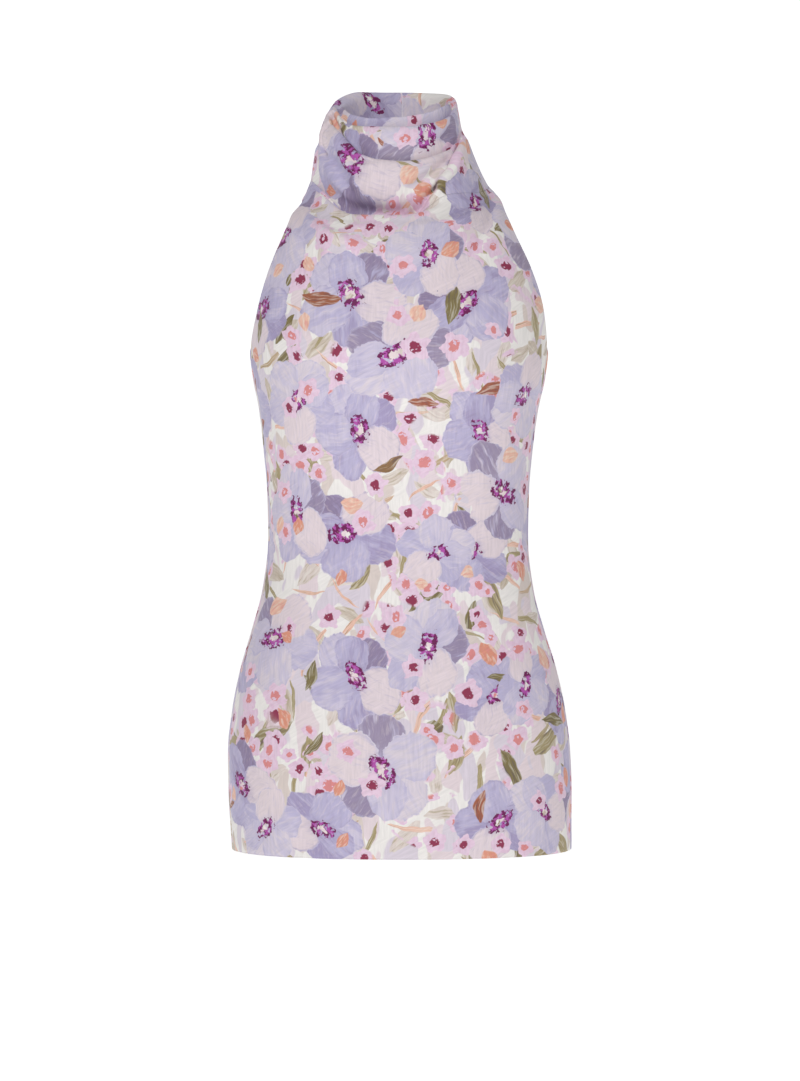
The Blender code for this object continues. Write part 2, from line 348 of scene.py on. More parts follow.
@dataclass
class Flattener:
    """Lays a curved grid of cloth out flat, as its print was before the cloth was sewn.

    A coarse net of the grid's points is pulled until its threads along, up and on both
    diagonals have, as nearly as they can, the lengths that they have on the curved cloth.

    Args:
        net: how many strips of the grid make one mesh of the net, up and along.
        rounds: how often the threads are pulled.
        stiffness: the share of its error that a thread takes up in one round.
    """

    net: tuple[int, int] = (5, 5)
    rounds: int = 900
    stiffness: float = 0.8

    def laid(self, grid: Points, middle: int, pinned: Points | None = None) -> Points:
        """The flat place of each point of a grid.

        Args:
            grid: the curved cloth.
            middle: the column that starts as the upright line through nought.
            pinned: flat places that points of the first row must keep, or not-a-number.

        Returns:
            An array of rows, columns and two, in millimetres.
        """
        along, up = np.diff(grid, axis=1), np.diff(grid, axis=0)
        across, height = travelled(along, 1), travelled(up)
        start = np.stack([across - across[:, middle:middle + 1], height], -1)
        if pinned is not None:
            known = ~np.isnan(pinned[:, 0])
            columns = np.arange(len(pinned))
            start[..., 1] += np.interp(columns, columns[known], pinned[known, 1])
        rows = np.unique(np.append(np.arange(0, len(grid), self.net[0]), len(grid) - 1))
        columns = np.unique(np.append(np.arange(0, grid.shape[1], self.net[1]), grid.shape[1] - 1))
        net = start[np.ix_(rows, columns)]
        wide = np.diff(across[np.ix_(rows, columns)], axis=1)
        tall = np.diff(height[np.ix_(rows, columns)], axis=0)
        unit_along, unit_up = along / length(along), up / length(up)
        lean = self._block_means((unit_along[:-1] * unit_up[:, :-1]).sum(-1), rows, columns)
        side = (wide[:-1] + wide[1:]) / 2
        rise = (tall[:, :-1] + tall[:, 1:]) / 2
        rising, falling = (np.sqrt(side**2 + rise**2 + 2 * side * rise * by) for by in (lean, -lean))
        held = None if pinned is None else pinned[columns]
        for _ in range(self.rounds):
            self._pull(net[:, :-1], net[:, 1:], wide)
            self._pull(net[:-1], net[1:], tall)
            self._pull(net[:-1, :-1], net[1:, 1:], rising)
            self._pull(net[:-1, 1:], net[1:, :-1], falling)
            if held is not None:
                net[0] = np.where(np.isnan(held), net[0], held)
        full = spline(np.arange(len(grid)), rows, net)
        return spline(np.arange(grid.shape[1]), columns, full.swapaxes(0, 1)).swapaxes(0, 1)

    @staticmethod
    def _block_means(values: Points, rows: Points, columns: Points) -> Points:
        """The mean of the values in each mesh of the net, from running sums at its corners.

        Args:
            values: one value for each quad of the grid.
            rows: the grid's rows that the net keeps.
            columns: the grid's columns that the net keeps.

        Returns:
            One value for each mesh of the net.
        """
        total = np.pad(values.cumsum(0).cumsum(1), ((1, 0), (1, 0)))
        corner = total[np.ix_(rows, columns)]
        block = corner[1:, 1:] - corner[:-1, 1:] - corner[1:, :-1] + corner[:-1, :-1]
        return block / np.diff(rows)[:, None] / np.diff(columns)

    def _pull(self, first: Points, second: Points, rest: Points) -> None:
        """Moves each end of a thread by a quarter of its share of the error, along the thread.

        Args:
            first: the first ends of the threads, moved in place.
            second: their second ends, moved in place.
            rest: the lengths that the threads should have.
        """
        thread = second - first
        error = thread * (1 - rest[..., None] / length(thread)) * self.stiffness / 4
        first += error
        second -= error


@dataclass
class Panel:
    """One cut piece of the top, as a thin closed shell on its solid's form.

    Args:
        node: the solid that it replaces.
        slot: the name of the material that it gets.
        flat: the width and the length of its cut, in metres; not used.
        area: its flat area, in square metres; not used.
        print_shift: where its cut lay on the printed cloth.
        thickness: how thick the cloth is.
        seam_gap: the gap to its neighbour.
        sewn_end: which end of its columns is sewn to the next piece: 0 or -1.
        edge_roll: how far its side edges sink where they are sewn or turned.
        roll_reach: the distance at which they sink a third of that.
        strip: the width of its strips of mesh.
        creases: its creases.
    """

    node: str
    slot: str
    flat: tuple[float, float]
    area: float
    print_shift: tuple[float, float] = (0.0, 0.0)
    thickness: float = 0.9
    seam_gap: float = 0.2
    sewn_end: int = -1
    edge_roll: float = 0.6
    roll_reach: float = 1.8
    strip: float = 3.4
    creases: tuple[Crease, ...] = ()
    flat_places: Points = field(init=False, repr=False)

    def surface(self) -> tuple[Points, Points, Points]:
        """The middle of the cloth, and the across and row measures of its points."""
        raise NotImplementedError

    def flat_grid(self, grid: Points) -> Points:
        """The flat place of each point of the middle of the cloth."""
        return Flattener().laid(grid, grid.shape[1] // 2)

    def own_creases(self) -> tuple[Crease, ...]:
        """The creases that lie on this piece."""
        return self.creases

    def creased(self, grid: Points, across: Points, rows: Points) -> Points:
        """The grid with its creases pressed in along its normals.

        A crease's depth falls off as e to the minus square of the distance over the width. Its
        shoulders rise 1.7 widths out, and both fade in its first and last 0.4.

        Args:
            grid: the middle of the cloth.
            across: the across measure of each point.
            rows: the row measure of each point.

        Returns:
            A new grid.
        """
        facing = normals(grid)
        sunk = np.zeros(grid.shape[:2])
        for crease in self.own_creases():
            path = self._on_grid(grid, across, rows, np.array(crease.path))
            distance, share = self._from_path(grid, path)
            near = distance / crease.width
            shoulder = np.exp(-(near - SHOULDER_AT) ** 2 * SHOULDER_SHARPNESS)
            fade = crease.start + (1 - crease.start) * eased(share / FADED_PART)
            fade *= crease.end + (1 - crease.end) * eased((1 - share) / FADED_PART)
            sunk += crease.depth * fade * (np.exp(-near**2) - crease.lip * shoulder)
        return grid - facing * sunk[..., None]

    @staticmethod
    def _on_grid(grid: Points, across: Points, rows: Points, path: Points) -> Points:
        """The points of the grid that lie nearest to each place of a path, joined by a curve.

        Args:
            grid: the middle of the cloth.
            across: the across measure of each point.
            rows: the row measure of each point.
            path: the places, each as across and row.

        Returns:
            Points along the curve, four for each place.
        """
        scale = np.array([np.ptp(across), np.ptp(rows) * 2.5])
        measures = np.stack([across, rows], -1) / scale
        gaps = ((measures[None] - (path / scale)[:, None, None]) ** 2).sum(-1)
        nearest = gaps.reshape(len(path), -1).argmin(axis=1)
        corners = grid.reshape(-1, 3)[nearest]
        knots = travelled(np.diff(corners, axis=0))
        return spline(np.linspace(0, knots[-1], 4 * len(path)), knots, corners)

    @staticmethod
    def _from_path(grid: Points, path: Points) -> tuple[Points, Points]:
        """The distance of each point from a path, and the share of the path at its nearest place.

        Args:
            grid: the middle of the cloth.
            path: points that straight steps join.

        Returns:
            The distances, and the shares from 0 at the path's start to 1 at its end.
        """
        start, step = path[:-1], np.diff(path, axis=0)
        offset = grid[:, :, None] - start
        part = np.clip((offset * step).sum(-1) / (step**2).sum(-1), 0, 1)
        distance = length(offset - part[..., None] * step)[..., 0]
        nearest = distance.argmin(axis=-1)[..., None]
        share = (nearest + np.take_along_axis(part, nearest, -1)) / len(step)
        return np.take_along_axis(distance, nearest, -1)[..., 0], share[..., 0]

    @staticmethod
    def from_sides(grid: Points) -> Points:
        """The distance of each point from the nearer end of its row, along the cloth."""
        along = travelled(np.diff(grid, axis=1), 1)
        return np.minimum(along, along[:, -1:] - along)

    def rolled(self, grid: Points) -> Points:
        """The grid with its side edges sunk by e to the minus square of distance over reach."""
        sunk = self.edge_roll * np.exp(-(self.from_sides(grid) / self.roll_reach) ** 2)
        return grid - normals(grid) * sunk[..., None]

    def trimmed(self, grid: Points) -> Points:
        """The grid with its borders, but for the sewn end, drawn in by half of the seam's gap.

        Args:
            grid: the middle of the cloth.

        Returns:
            A new grid.
        """
        grid = grid.copy()
        for axis in (0, 1):
            lines = np.moveaxis(grid, axis, 0)
            for end, inner in ((0, 1), (-1, -2)):
                if axis == 0 and end == self.sewn_end:
                    continue
                inwards = lines[inner] - lines[end]
                lines[end] += inwards / length(inwards) * self.seam_gap / 2
        return grid

    def edge_thickness(self, grid: Points) -> Points:
        """How thick the cloth is at each point, as a share of its thickness."""
        return np.ones(grid.shape[:2])

    def build(self, finish: bpy.types.Material) -> bpy.types.Object:
        """The finished piece: its shell, its flat places as a UV map, hung on the root with its solid
        hidden.

        Args:
            finish: the material that it gets.

        Returns:
            The new object.
        """
        grid, across, rows = self.surface()
        self.flat_places = self.flat_grid(grid)
        grid = self.trimmed(self.rolled(self.creased(grid, across, rows)))
        half = (self.edge_thickness(grid) * self.thickness / 2)[..., None] * normals(grid)
        points = np.stack([grid + half, grid - half]).reshape(-1, 3)
        faces, sides = self._shell_faces(grid.shape[:2])
        mesh = bpy.data.meshes.new(self.node + "_cloth")
        mesh.from_pydata((points * MM).tolist(), [], faces.tolist())
        self._write_flat(mesh, faces % (len(points) // 2))
        reverse = mesh.attributes.new("reverse", "FLOAT", "FACE")
        reverse.data.foreach_set("value", sides.astype(np.float32))
        mesh.shade_smooth()
        mesh.materials.append(finish)
        piece = placed(mesh.name, mesh)
        self._declare(piece)
        LOG.info("%s: %d faces, %.3f square metres flat", piece.name, len(faces), self.measured())
        return piece

    @staticmethod
    def _shell_faces(shape: tuple[int, int]) -> tuple[Points, Points]:
        """The faces of a closed shell: those outside, the same turned over inside, and its edge.

        Args:
            shape: the number of rows and columns of points on each of its two faces.

        Returns:
            The four corners of each face, and its value of the reverse attribute.
        """
        count = shape[0] * shape[1]
        outer = np.arange(count).reshape(shape)
        corners = (outer[:-1, :-1], outer[:-1, 1:], outer[1:, 1:], outer[1:, :-1])
        outside = np.stack(corners, -1).reshape(-1, 4)
        border = np.concatenate([outer[0, :-1], outer[:-1, -1], outer[-1, :0:-1], outer[:0:-1, 0]])
        after = np.roll(border, -1)
        edge = np.stack([after, border, border + count, after + count], -1)
        sides = np.repeat([Face.PRINTED.value, Face.REVERSE.value, Face.EDGE.value],
                          [len(outside), len(outside), len(edge)])
        return np.concatenate([outside, outside[:, ::-1] + count, edge]), sides

    def _write_flat(self, mesh: bpy.types.Mesh, places: Points) -> None:
        """Writes the flat places of the faces' corners as the UV map, in metres.

        Args:
            mesh: the shell.
            places: the number of the grid's point at each corner of each face.
        """
        layer = mesh.uv_layers.new(name="flat")
        flat = (self.flat_places.reshape(-1, 2) + self.print_shift) * MM
        layer.data.foreach_set("uv", flat[places.ravel()].astype(np.float32).ravel())

    def _declare(self, piece: bpy.types.Object) -> None:
        """Hangs the piece on the root's empty, and hides the solid that it stands for.

        Args:
            piece: the shell.
        """
        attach(piece, "root")
        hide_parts(self.node)

    def measured(self) -> float:
        """The flat area of the panel: half the cross product of the diagonals of all its quads.

        Returns:
            The area in square metres.
        """
        flat = self.flat_places * MM
        rising = flat[1:, 1:] - flat[:-1, :-1]
        falling = flat[1:, :-1] - flat[:-1, 1:]
        return float(np.abs(rising[..., 0] * falling[..., 1]
                            - rising[..., 1] * falling[..., 0]).sum() / 2)


@dataclass
class TorsoPanel(Panel):
    """A panel of the body, with the measures that the front and the back share."""

    torso_y: float = -12.0
    side_seam_forward: float = 18.0
    seam_to_silhouette: float = 0.985
    squareness: float = 0.035
    edge_levelling: float = 1.6
    hem_height: float = 13.0
    armhole_hem: float = 8.0
    hem_step: float = 2.0
    hem_extra: float = 0.5
    underarm: float = -142.0

    def edge_thickness(self, grid: Points) -> Points:
        """How thick the cloth is at each point: half as much again in its turned hems.

        Args:
            grid: the middle of the cloth.

        Returns:
            A share of the thickness for each point.
        """
        z = grid[..., 2]
        below_armhole = eased((self.underarm - z) / self.armhole_hem)
        inside_armhole = self.from_sides(grid) + 5 * self.armhole_hem * below_armhole
        hem = 1 - eased((z - BODY[0].height - self.hem_height) / self.hem_step)
        turned = 1 - eased((inside_armhole - self.armhole_hem) / self.hem_step)
        return 1 + self.hem_extra * np.maximum(hem, turned)

    def square(self, angle: Points) -> Points:
        """How far a section swells past an ellipse: 1 plus a share of sine squared, angle doubled."""
        return 1 + self.squareness * np.sin(2 * angle) ** 2

    def arc_points(self, arc: Reach, across: Points) -> Points:
        """Points of one row, an arc of a swollen ellipse that rises or falls towards its ends.

        Args:
            arc: the row.
            across: places from -1 at the left edge to 1 at the right edge.

        Returns:
            One point for each place.
        """
        turn = math.radians(arc.turn)
        angle = across * turn
        width = arc.edge_x / (math.sin(turn) * self.square(turn))
        sweep = 1 - math.cos(turn) * self.square(turn)
        towards_edge = (1 - np.cos(angle) * self.square(angle)) / sweep
        x = arc.centre_x + width * np.sin(angle) * self.square(angle)
        y = arc.centre_y + (arc.edge_y - arc.centre_y) * towards_edge
        fall = (1 - np.clip(towards_edge, 0, 1)) ** self.edge_levelling
        z = arc.edge_z + (arc.centre_z - arc.edge_z) * fall
        return np.stack([x, y, z], axis=-1)

    def body_arc(self, level: Level, depth: float, turn: float) -> Reach:
        """The half of a level section between the side seams, in front or behind."""
        return Reach(level.height, level.centre, level.half_width * self.seam_to_silhouette,
                     self.torso_y - self.side_seam_forward, level.height, self.torso_y + depth, turn)


def line_points(line: NeckLine, degrees: Points) -> Points:
    """Points of a line round the neck, from -180 degrees at the back through 0 in front.

    Args:
        line: the line's distances and heights at the key angles, joined by a smooth curve.
        degrees: the angles of the points.

    Returns:
        One point for each angle.
    """
    turns = np.array([-360.0, 0.0, 360.0])
    knots = (np.array(KEY_ANGLES) + turns[:, None]).ravel()
    place = spline(degrees, knots, np.tile(np.stack([line.radii, line.heights], -1), (3, 1)))
    angle = np.radians(degrees)
    radius, height = place[:, 0], place[:, 1]
    return np.stack([NECK_X + radius * np.sin(angle), -radius * np.cos(angle), height], axis=-1)


@dataclass
class FrontPanel(TorsoPanel):
    """The front, from its hem to the collar's seam, with the swag that it makes at the neck.

    Its creases are placed by across, the millimetres to the right of the middle, and by height.
    """

    columns: int = 160
    turn: float = 80.0
    belly_turn: float = 92.0
    swag_step: float = 16.0
    swag_reach: float = 75.0
    creases: tuple[Crease, ...] = (
        # the edges of the swag
        Crease(((86, -8), (85, -26), (79, -44), (70, -60), (58, -78), (48, -96)), 2.6, 5, 0.4,
               0.6),
        Crease(((-91, -10), (-91, -28), (-88, -46), (-84, -64), (-79, -84)), 2.2, 5, 0.35, 0.6),
        # folds that follow the swag's lip down from both shoulders
        Crease(((-84, -14), (-72, -33), (-52, -46), (-30, -52)), 1.7, 5.5, 0.4),
        Crease(((76, -20), (64, -40), (44, -54), (20, -60)), 1.6, 6, 0.4),
        Crease(((-76, -48), (-56, -66), (-30, -76)), 1.1, 7, 0.4),
        # soft drag lines of the body
        Crease(((-118, -158), (-92, -172), (-60, -178)), 1.3, 9),
        Crease(((120, -150), (96, -168), (66, -178)), 1.1, 9),
        Crease(((-112, -318), (-78, -330), (-40, -328)), 1, 8),
        Crease(((114, -342), (84, -352), (52, -346)), 1.1, 8),
        Crease(((-96, -560), (-90, -585), (-86, -611)), 1.2, 11, 0.3, 0, 1),
        Crease(((58, -566), (64, -590), (66, -611)), 1.3, 12, 0.3, 0, 1),
    )
    yoke: tuple[Reach, ...] = (
        Reach(-115, 1.4, 131.7, -52, -128, -133, 74),
        Reach(-79, 1.2, 120.7, -62, -108, -128, 68),
        Reach(-42, 0.3, 104.8, -58, -88, -121, 70),
        Reach(-21, 0.6, 96.3, -40, -64, -113, 78),
    )
    belly: NeckLine = NeckLine("belly", (70, 78, 89.5, 95, 98.5, 99, 96, 91.5, 88, 78),
                               (-9, -9, -4, -16, -37, -39, -30, -15, -4, -9))
    swag: tuple[SwagEdge, ...] = (
        SwagEdge(-125, -64, 22, 0),
        SwagEdge(-95, -69, 42, 2),
        SwagEdge(-60, -77, 63, 6),
        SwagEdge(-35, -82, 76, 7.5),
        SwagEdge(-12, -85, 83, 5),
        SwagEdge(8, -84, 83, 0),
    )

    def swag_height(self, grid: Points) -> Points:
        """How far the swag stands proud: its height at each level, eased in from both its edges.

        Args:
            grid: the middle of the cloth.

        Returns:
            A distance for each point.
        """
        x, z = grid[..., 0], grid[..., 2]
        levels = np.array([[e.height, e.left, e.right, e.proud] for e in self.swag]).T
        height = np.zeros_like(x)
        left, right = np.interp(z, levels[0], levels[1]), np.interp(z, levels[0], levels[2])
        for inside in (x - left, right - x):
            height += eased(inside / self.swag_step) * (
                1 - eased((inside - self.swag_step) / self.swag_reach))
        return height * np.interp(z, levels[0], levels[3])

    def surface(self) -> tuple[Points, Points, Points]:
        """The front: half sections of the body, the yoke's arcs and lines round the neck, lofted.

        The swag is then pushed outwards from the upright axis.

        Returns:
            The middle of the cloth, with x and z as its across and row measures.
        """
        across = np.linspace(-1.0, 1.0, self.columns + 1)
        arcs = [self.body_arc(level, -level.front, self.turn) for level in BODY] + list(self.yoke)
        rows = [self.arc_points(arc, across) for arc in arcs]
        rows.append(line_points(self.belly, across * self.belly_turn))
        rows += [line_points(line, across * NECK_TURN) for line in NECK_ROWS + COLLAR_ROWS[:1]]
        loft = Loft(rows, self.strip, after=1)
        grid = loft.grid()
        chest = loft.places < len(arcs)
        outwards = grid * (1.0, 1.0, 0.0)
        proud = self.swag_height(grid) * chest[:, None]
        grid = grid + outwards / length(outwards) * proud[..., None]
        return grid, grid[..., 0], grid[..., 2]


@dataclass
class BackPanel(TorsoPanel):
    """One half of the back, from its hem to the collar's seam."""

    side: Side = Side.LEFT
    columns: int = 84
    turn: float = 100.0
    creases: tuple[Crease, ...] = (
        Crease(((-74, -6), (-70, -34), (-76, -66)), 1.6, 7, 0.3, 0.3),
        Crease(((-44, -10), (-40, -44), (-46, -88)), 1.4, 8, 0.3, 0.3),
        Crease(((-104, -168), (-72, -182), (-38, -180)), 1.2, 9),
        Crease(((-106, -296), (-70, -306), (-28, -300)), 1.7, 8, 0.4),
        Crease(((-98, -340), (-60, -346), (-22, -338)), 1.2, 9, 0.4),
        Crease(((-70, -560), (-76, -586), (-80, -611)), 1.5, 12, 0.3, 0, 1),
        Crease(((66, -4), (60, -30), (62, -58)), 1.5, 7, 0.3, 0.3),
        Crease(((36, -12), (38, -50), (34, -96)), 1.2, 8, 0.3, 0.3),
        Crease(((110, -176), (80, -192), (42, -188)), 1.3, 9),
        Crease(((108, -312), (76, -322), (34, -314)), 1.5, 8, 0.4),
        Crease(((92, -352), (58, -360), (18, -352)), 1.1, 9, 0.4),
        Crease(((52, -566), (50, -590), (54, -611)), 1.4, 12, 0.3, 0, 1),
    )
    yoke: tuple[Reach, ...] = (
        Reach(-138, 0, 130, 5, -137, 88, 88),
        Reach(-112, 0, 115, 48, -111, 88, 70),
        Reach(-75, 0.5, 98, 56, -73, 87, 62),
        Reach(-40, 1, 88, 45, -38, 81, 66),
        Reach(-14, 2, 86, 22, -12, 72, 80),
    )

    def surface(self) -> tuple[Points, Points, Points]:
        """The half: quarter sections of the body, the yoke's arcs and lines round the neck, lofted.

        Returns:
            The middle of the cloth, with x and z as its across and row measures.
        """
        side = self.side.value
        across = np.linspace(max(side, 0.0), min(side, 0.0), self.columns + 1)
        arcs = [self.body_arc(level, level.back, self.turn) for level in BODY] + list(self.yoke)
        rows = [self.arc_points(arc, across) for arc in arcs]
        rows += [line_points(line, 180.0 - across * (180.0 - NECK_TURN))
                 for line in NECK_ROWS + COLLAR_ROWS[:1]]
        grid = Loft(rows, self.strip, after=1).grid()
        return grid, grid[..., 0], grid[..., 2]

    def own_creases(self) -> tuple[Crease, ...]:
        """The creases on this half: those whose first place lies on its side."""
        return tuple(c for c in self.creases if c.path[0][0] * self.side.value > 0)

    def flat_grid(self, grid: Points) -> Points:
        """The flat place of each point, with the centre back as the upright line."""
        return Flattener().laid(grid, 0 if self.side is Side.RIGHT else grid.shape[1] - 1)


@dataclass
class CowlCollar(Panel):
    """The collar, from its seam up through two swags, over the rim and down to its inner hem.

    Its creases are placed by the angle round the neck, and by the number of the named row.
    """

    sewn_end: int = 0
    edge_roll: float = 0.0
    front_columns: int = 160
    back_columns: int = 66
    front: FrontPanel | None = None
    creases: tuple[Crease, ...] = (
        # the roll on the left, under the rim, with a deep crease along its upper edge
        Crease(((-78, 8), (-60, 7.7), (-46, 7.6), (-31, 7.3), (-14, 7)), 7.4, 2.7, 0.3, 0.7),
        Crease(((-70, 6.4), (-54, 6.4), (-38, 6.3), (-24, 6.2)), -3.8, 5.6, 0),
        # the roll's own edge on the left, over the side layer, and a small fold along the roll
        Crease(((-67, 7), (-70, 6.6), (-72, 6.2), (-71, 5.7), (-68, 5.1), (-62, 4.6)), 6, 2.8,
               0.5, 0.2, 0.2),
        Crease(((-51, 6.4), (-43, 6.45), (-36, 6.3), (-27, 6.45), (-15, 6.55)), 4.4, 2.6, 0.35),
        Crease(((-68, 4.9), (-50, 5), (-36, 5.1), (-22, 5.4)), 3.6, 4.5, 0.2, 0.3),
        # the pocket behind the second swag
        Crease(((-34, 8.1), (-15, 8), (0, 8), (15, 8), (32, 8), (52, 7.7)), 3.6, 3),
        # the cloth leans back behind the edge of the third swag
        Crease(((-46, 2.1), (-32, 1.9), (-16, 1.7), (0, 1.7), (8, 1.8)), 7.5, 7.5, 0, 0.2, 0.6),
        # the second swag closes on the right, where a fold climbs over it
        Crease(((2, 0.5), (12, 1.3), (20, 2), (30, 2.8), (45, 3.1), (62, 3.1)), 5.2, 3.2, 0.3,
               0.5, 0.3),
        Crease(((10, 0.3), (18, 1), (30, 1.9), (46, 2.1), (66, 2.1)), -3.2, 4.2, 0),
        Crease(((38, 5.4), (27, 5.2), (18, 4.6), (8, 3.9), (-2, 3.3)), 4, 4.2, 0.45, 0.6),
        # the soft valley on its left
        Crease(((-66, 4.3), (-52, 4.3), (-42, 4.1), (-34, 3.4), (-26, 2.9)), 4.6, 5.2, 0.4),
        # the groove between the rim and the roll inside it
        Crease(((-95, 11.1), (-60, 11.1), (-30, 11), (0, 11), (30, 11), (60, 11),
                (92, 11.1)), 3, 2.2, 0.3),
        # the bib is drawn towards its two ends
        Crease(((-40, 9.5), (-24, 9.1), (-8, 8.9)), 1.3, 4.5),
        Crease(((64, 9.4), (44, 9), (24, 8.9)), 1.6, 4),
        # behind, the stand is crushed a little into rings
        Crease(((110, 5.8), (135, 5.4), (160, 5.6), (178, 5.9)), 1.7, 6),
        Crease(((-178, 5.2), (-155, 5), (-130, 5.3), (-105, 5.9)), 1.9, 6.5),
        Crease(((98, 8.1), (125, 8.3), (150, 8)), 1.3, 5),
        Crease(((-150, 2.1), (-122, 2.4), (-98, 2.9)), 1.8, 6),
        Crease(((102, 2.3), (128, 1.9), (156, 1.8)), 1.5, 5.5),
    )

    def surface(self) -> tuple[Points, Points, Points]:
        """The collar: lines all round the neck, lofted, from its seam to its inner hem.

        Returns:
            The middle of the cloth, with degrees and row numbers as its measures.
        """
        front = np.linspace(-NECK_TURN, NECK_TURN, self.front_columns + 1)
        back = np.linspace(NECK_TURN, 180.0, self.back_columns + 1)
        degrees = np.concatenate([-back[:0:-1], front, back[1:]])
        rows = [line_points(line, degrees) for line in NECK_ROWS[-2:] + COLLAR_ROWS]
        loft = Loft(rows, self.strip, before=1, smoothing=(2, 8))
        grid = loft.grid()
        return grid, *np.meshgrid(degrees, loft.places)

    def creased(self, grid: Points, across: Points, rows: Points) -> Points:
        """The creased grid, held still along the seam, where it's sewn to the front."""
        free = eased(rows)[..., None]
        return grid + (super().creased(grid, across, rows) - grid) * free

    def flat_grid(self, grid: Points) -> Points:
        """The flat place of each point, with the front's print carried on across the seam.

        The seam shows only to the right of the middle, so the print is held to it there alone.

        Args:
            grid: the middle of the cloth.

        Returns:
            An array of rows, columns and two, in millimetres.
        """
        middle = self.back_columns + self.front_columns // 2
        end = self.back_columns + self.front_columns + 1
        pinned = np.full((grid.shape[1], 2), np.nan)
        pinned[middle:end] = self.front.flat_places[-1][self.front_columns // 2:]
        return Flattener(net=(3, 5)).laid(grid, grid.shape[1] // 2, pinned)


# Shader nodes.


class Wire:
    """One output of a node. Arithmetic on it adds the nodes that work it out."""

    def __init__(self, kit: "Kit", socket: bpy.types.NodeSocket) -> None:
        self.kit = kit
        self.socket = socket

    def __add__(self, other: "Wire | float") -> "Wire":
        """This plus the other."""
        return self.kit.math("ADD", self, other)

    def __sub__(self, other: "Wire | float") -> "Wire":
        """This less the other."""
        return self.kit.math("SUBTRACT", self, other)

    def __rsub__(self, other: float) -> "Wire":
        """The other less this."""
        return self.kit.math("SUBTRACT", other, self)

    def __mul__(self, other: "Wire | float") -> "Wire":
        """This times the other."""
        return self.kit.math("MULTIPLY", self, other)

    def __truediv__(self, other: "Wire | float") -> "Wire":
        """This over the other."""
        return self.kit.math("DIVIDE", self, other)


Value = Wire | float | tuple[float, ...]


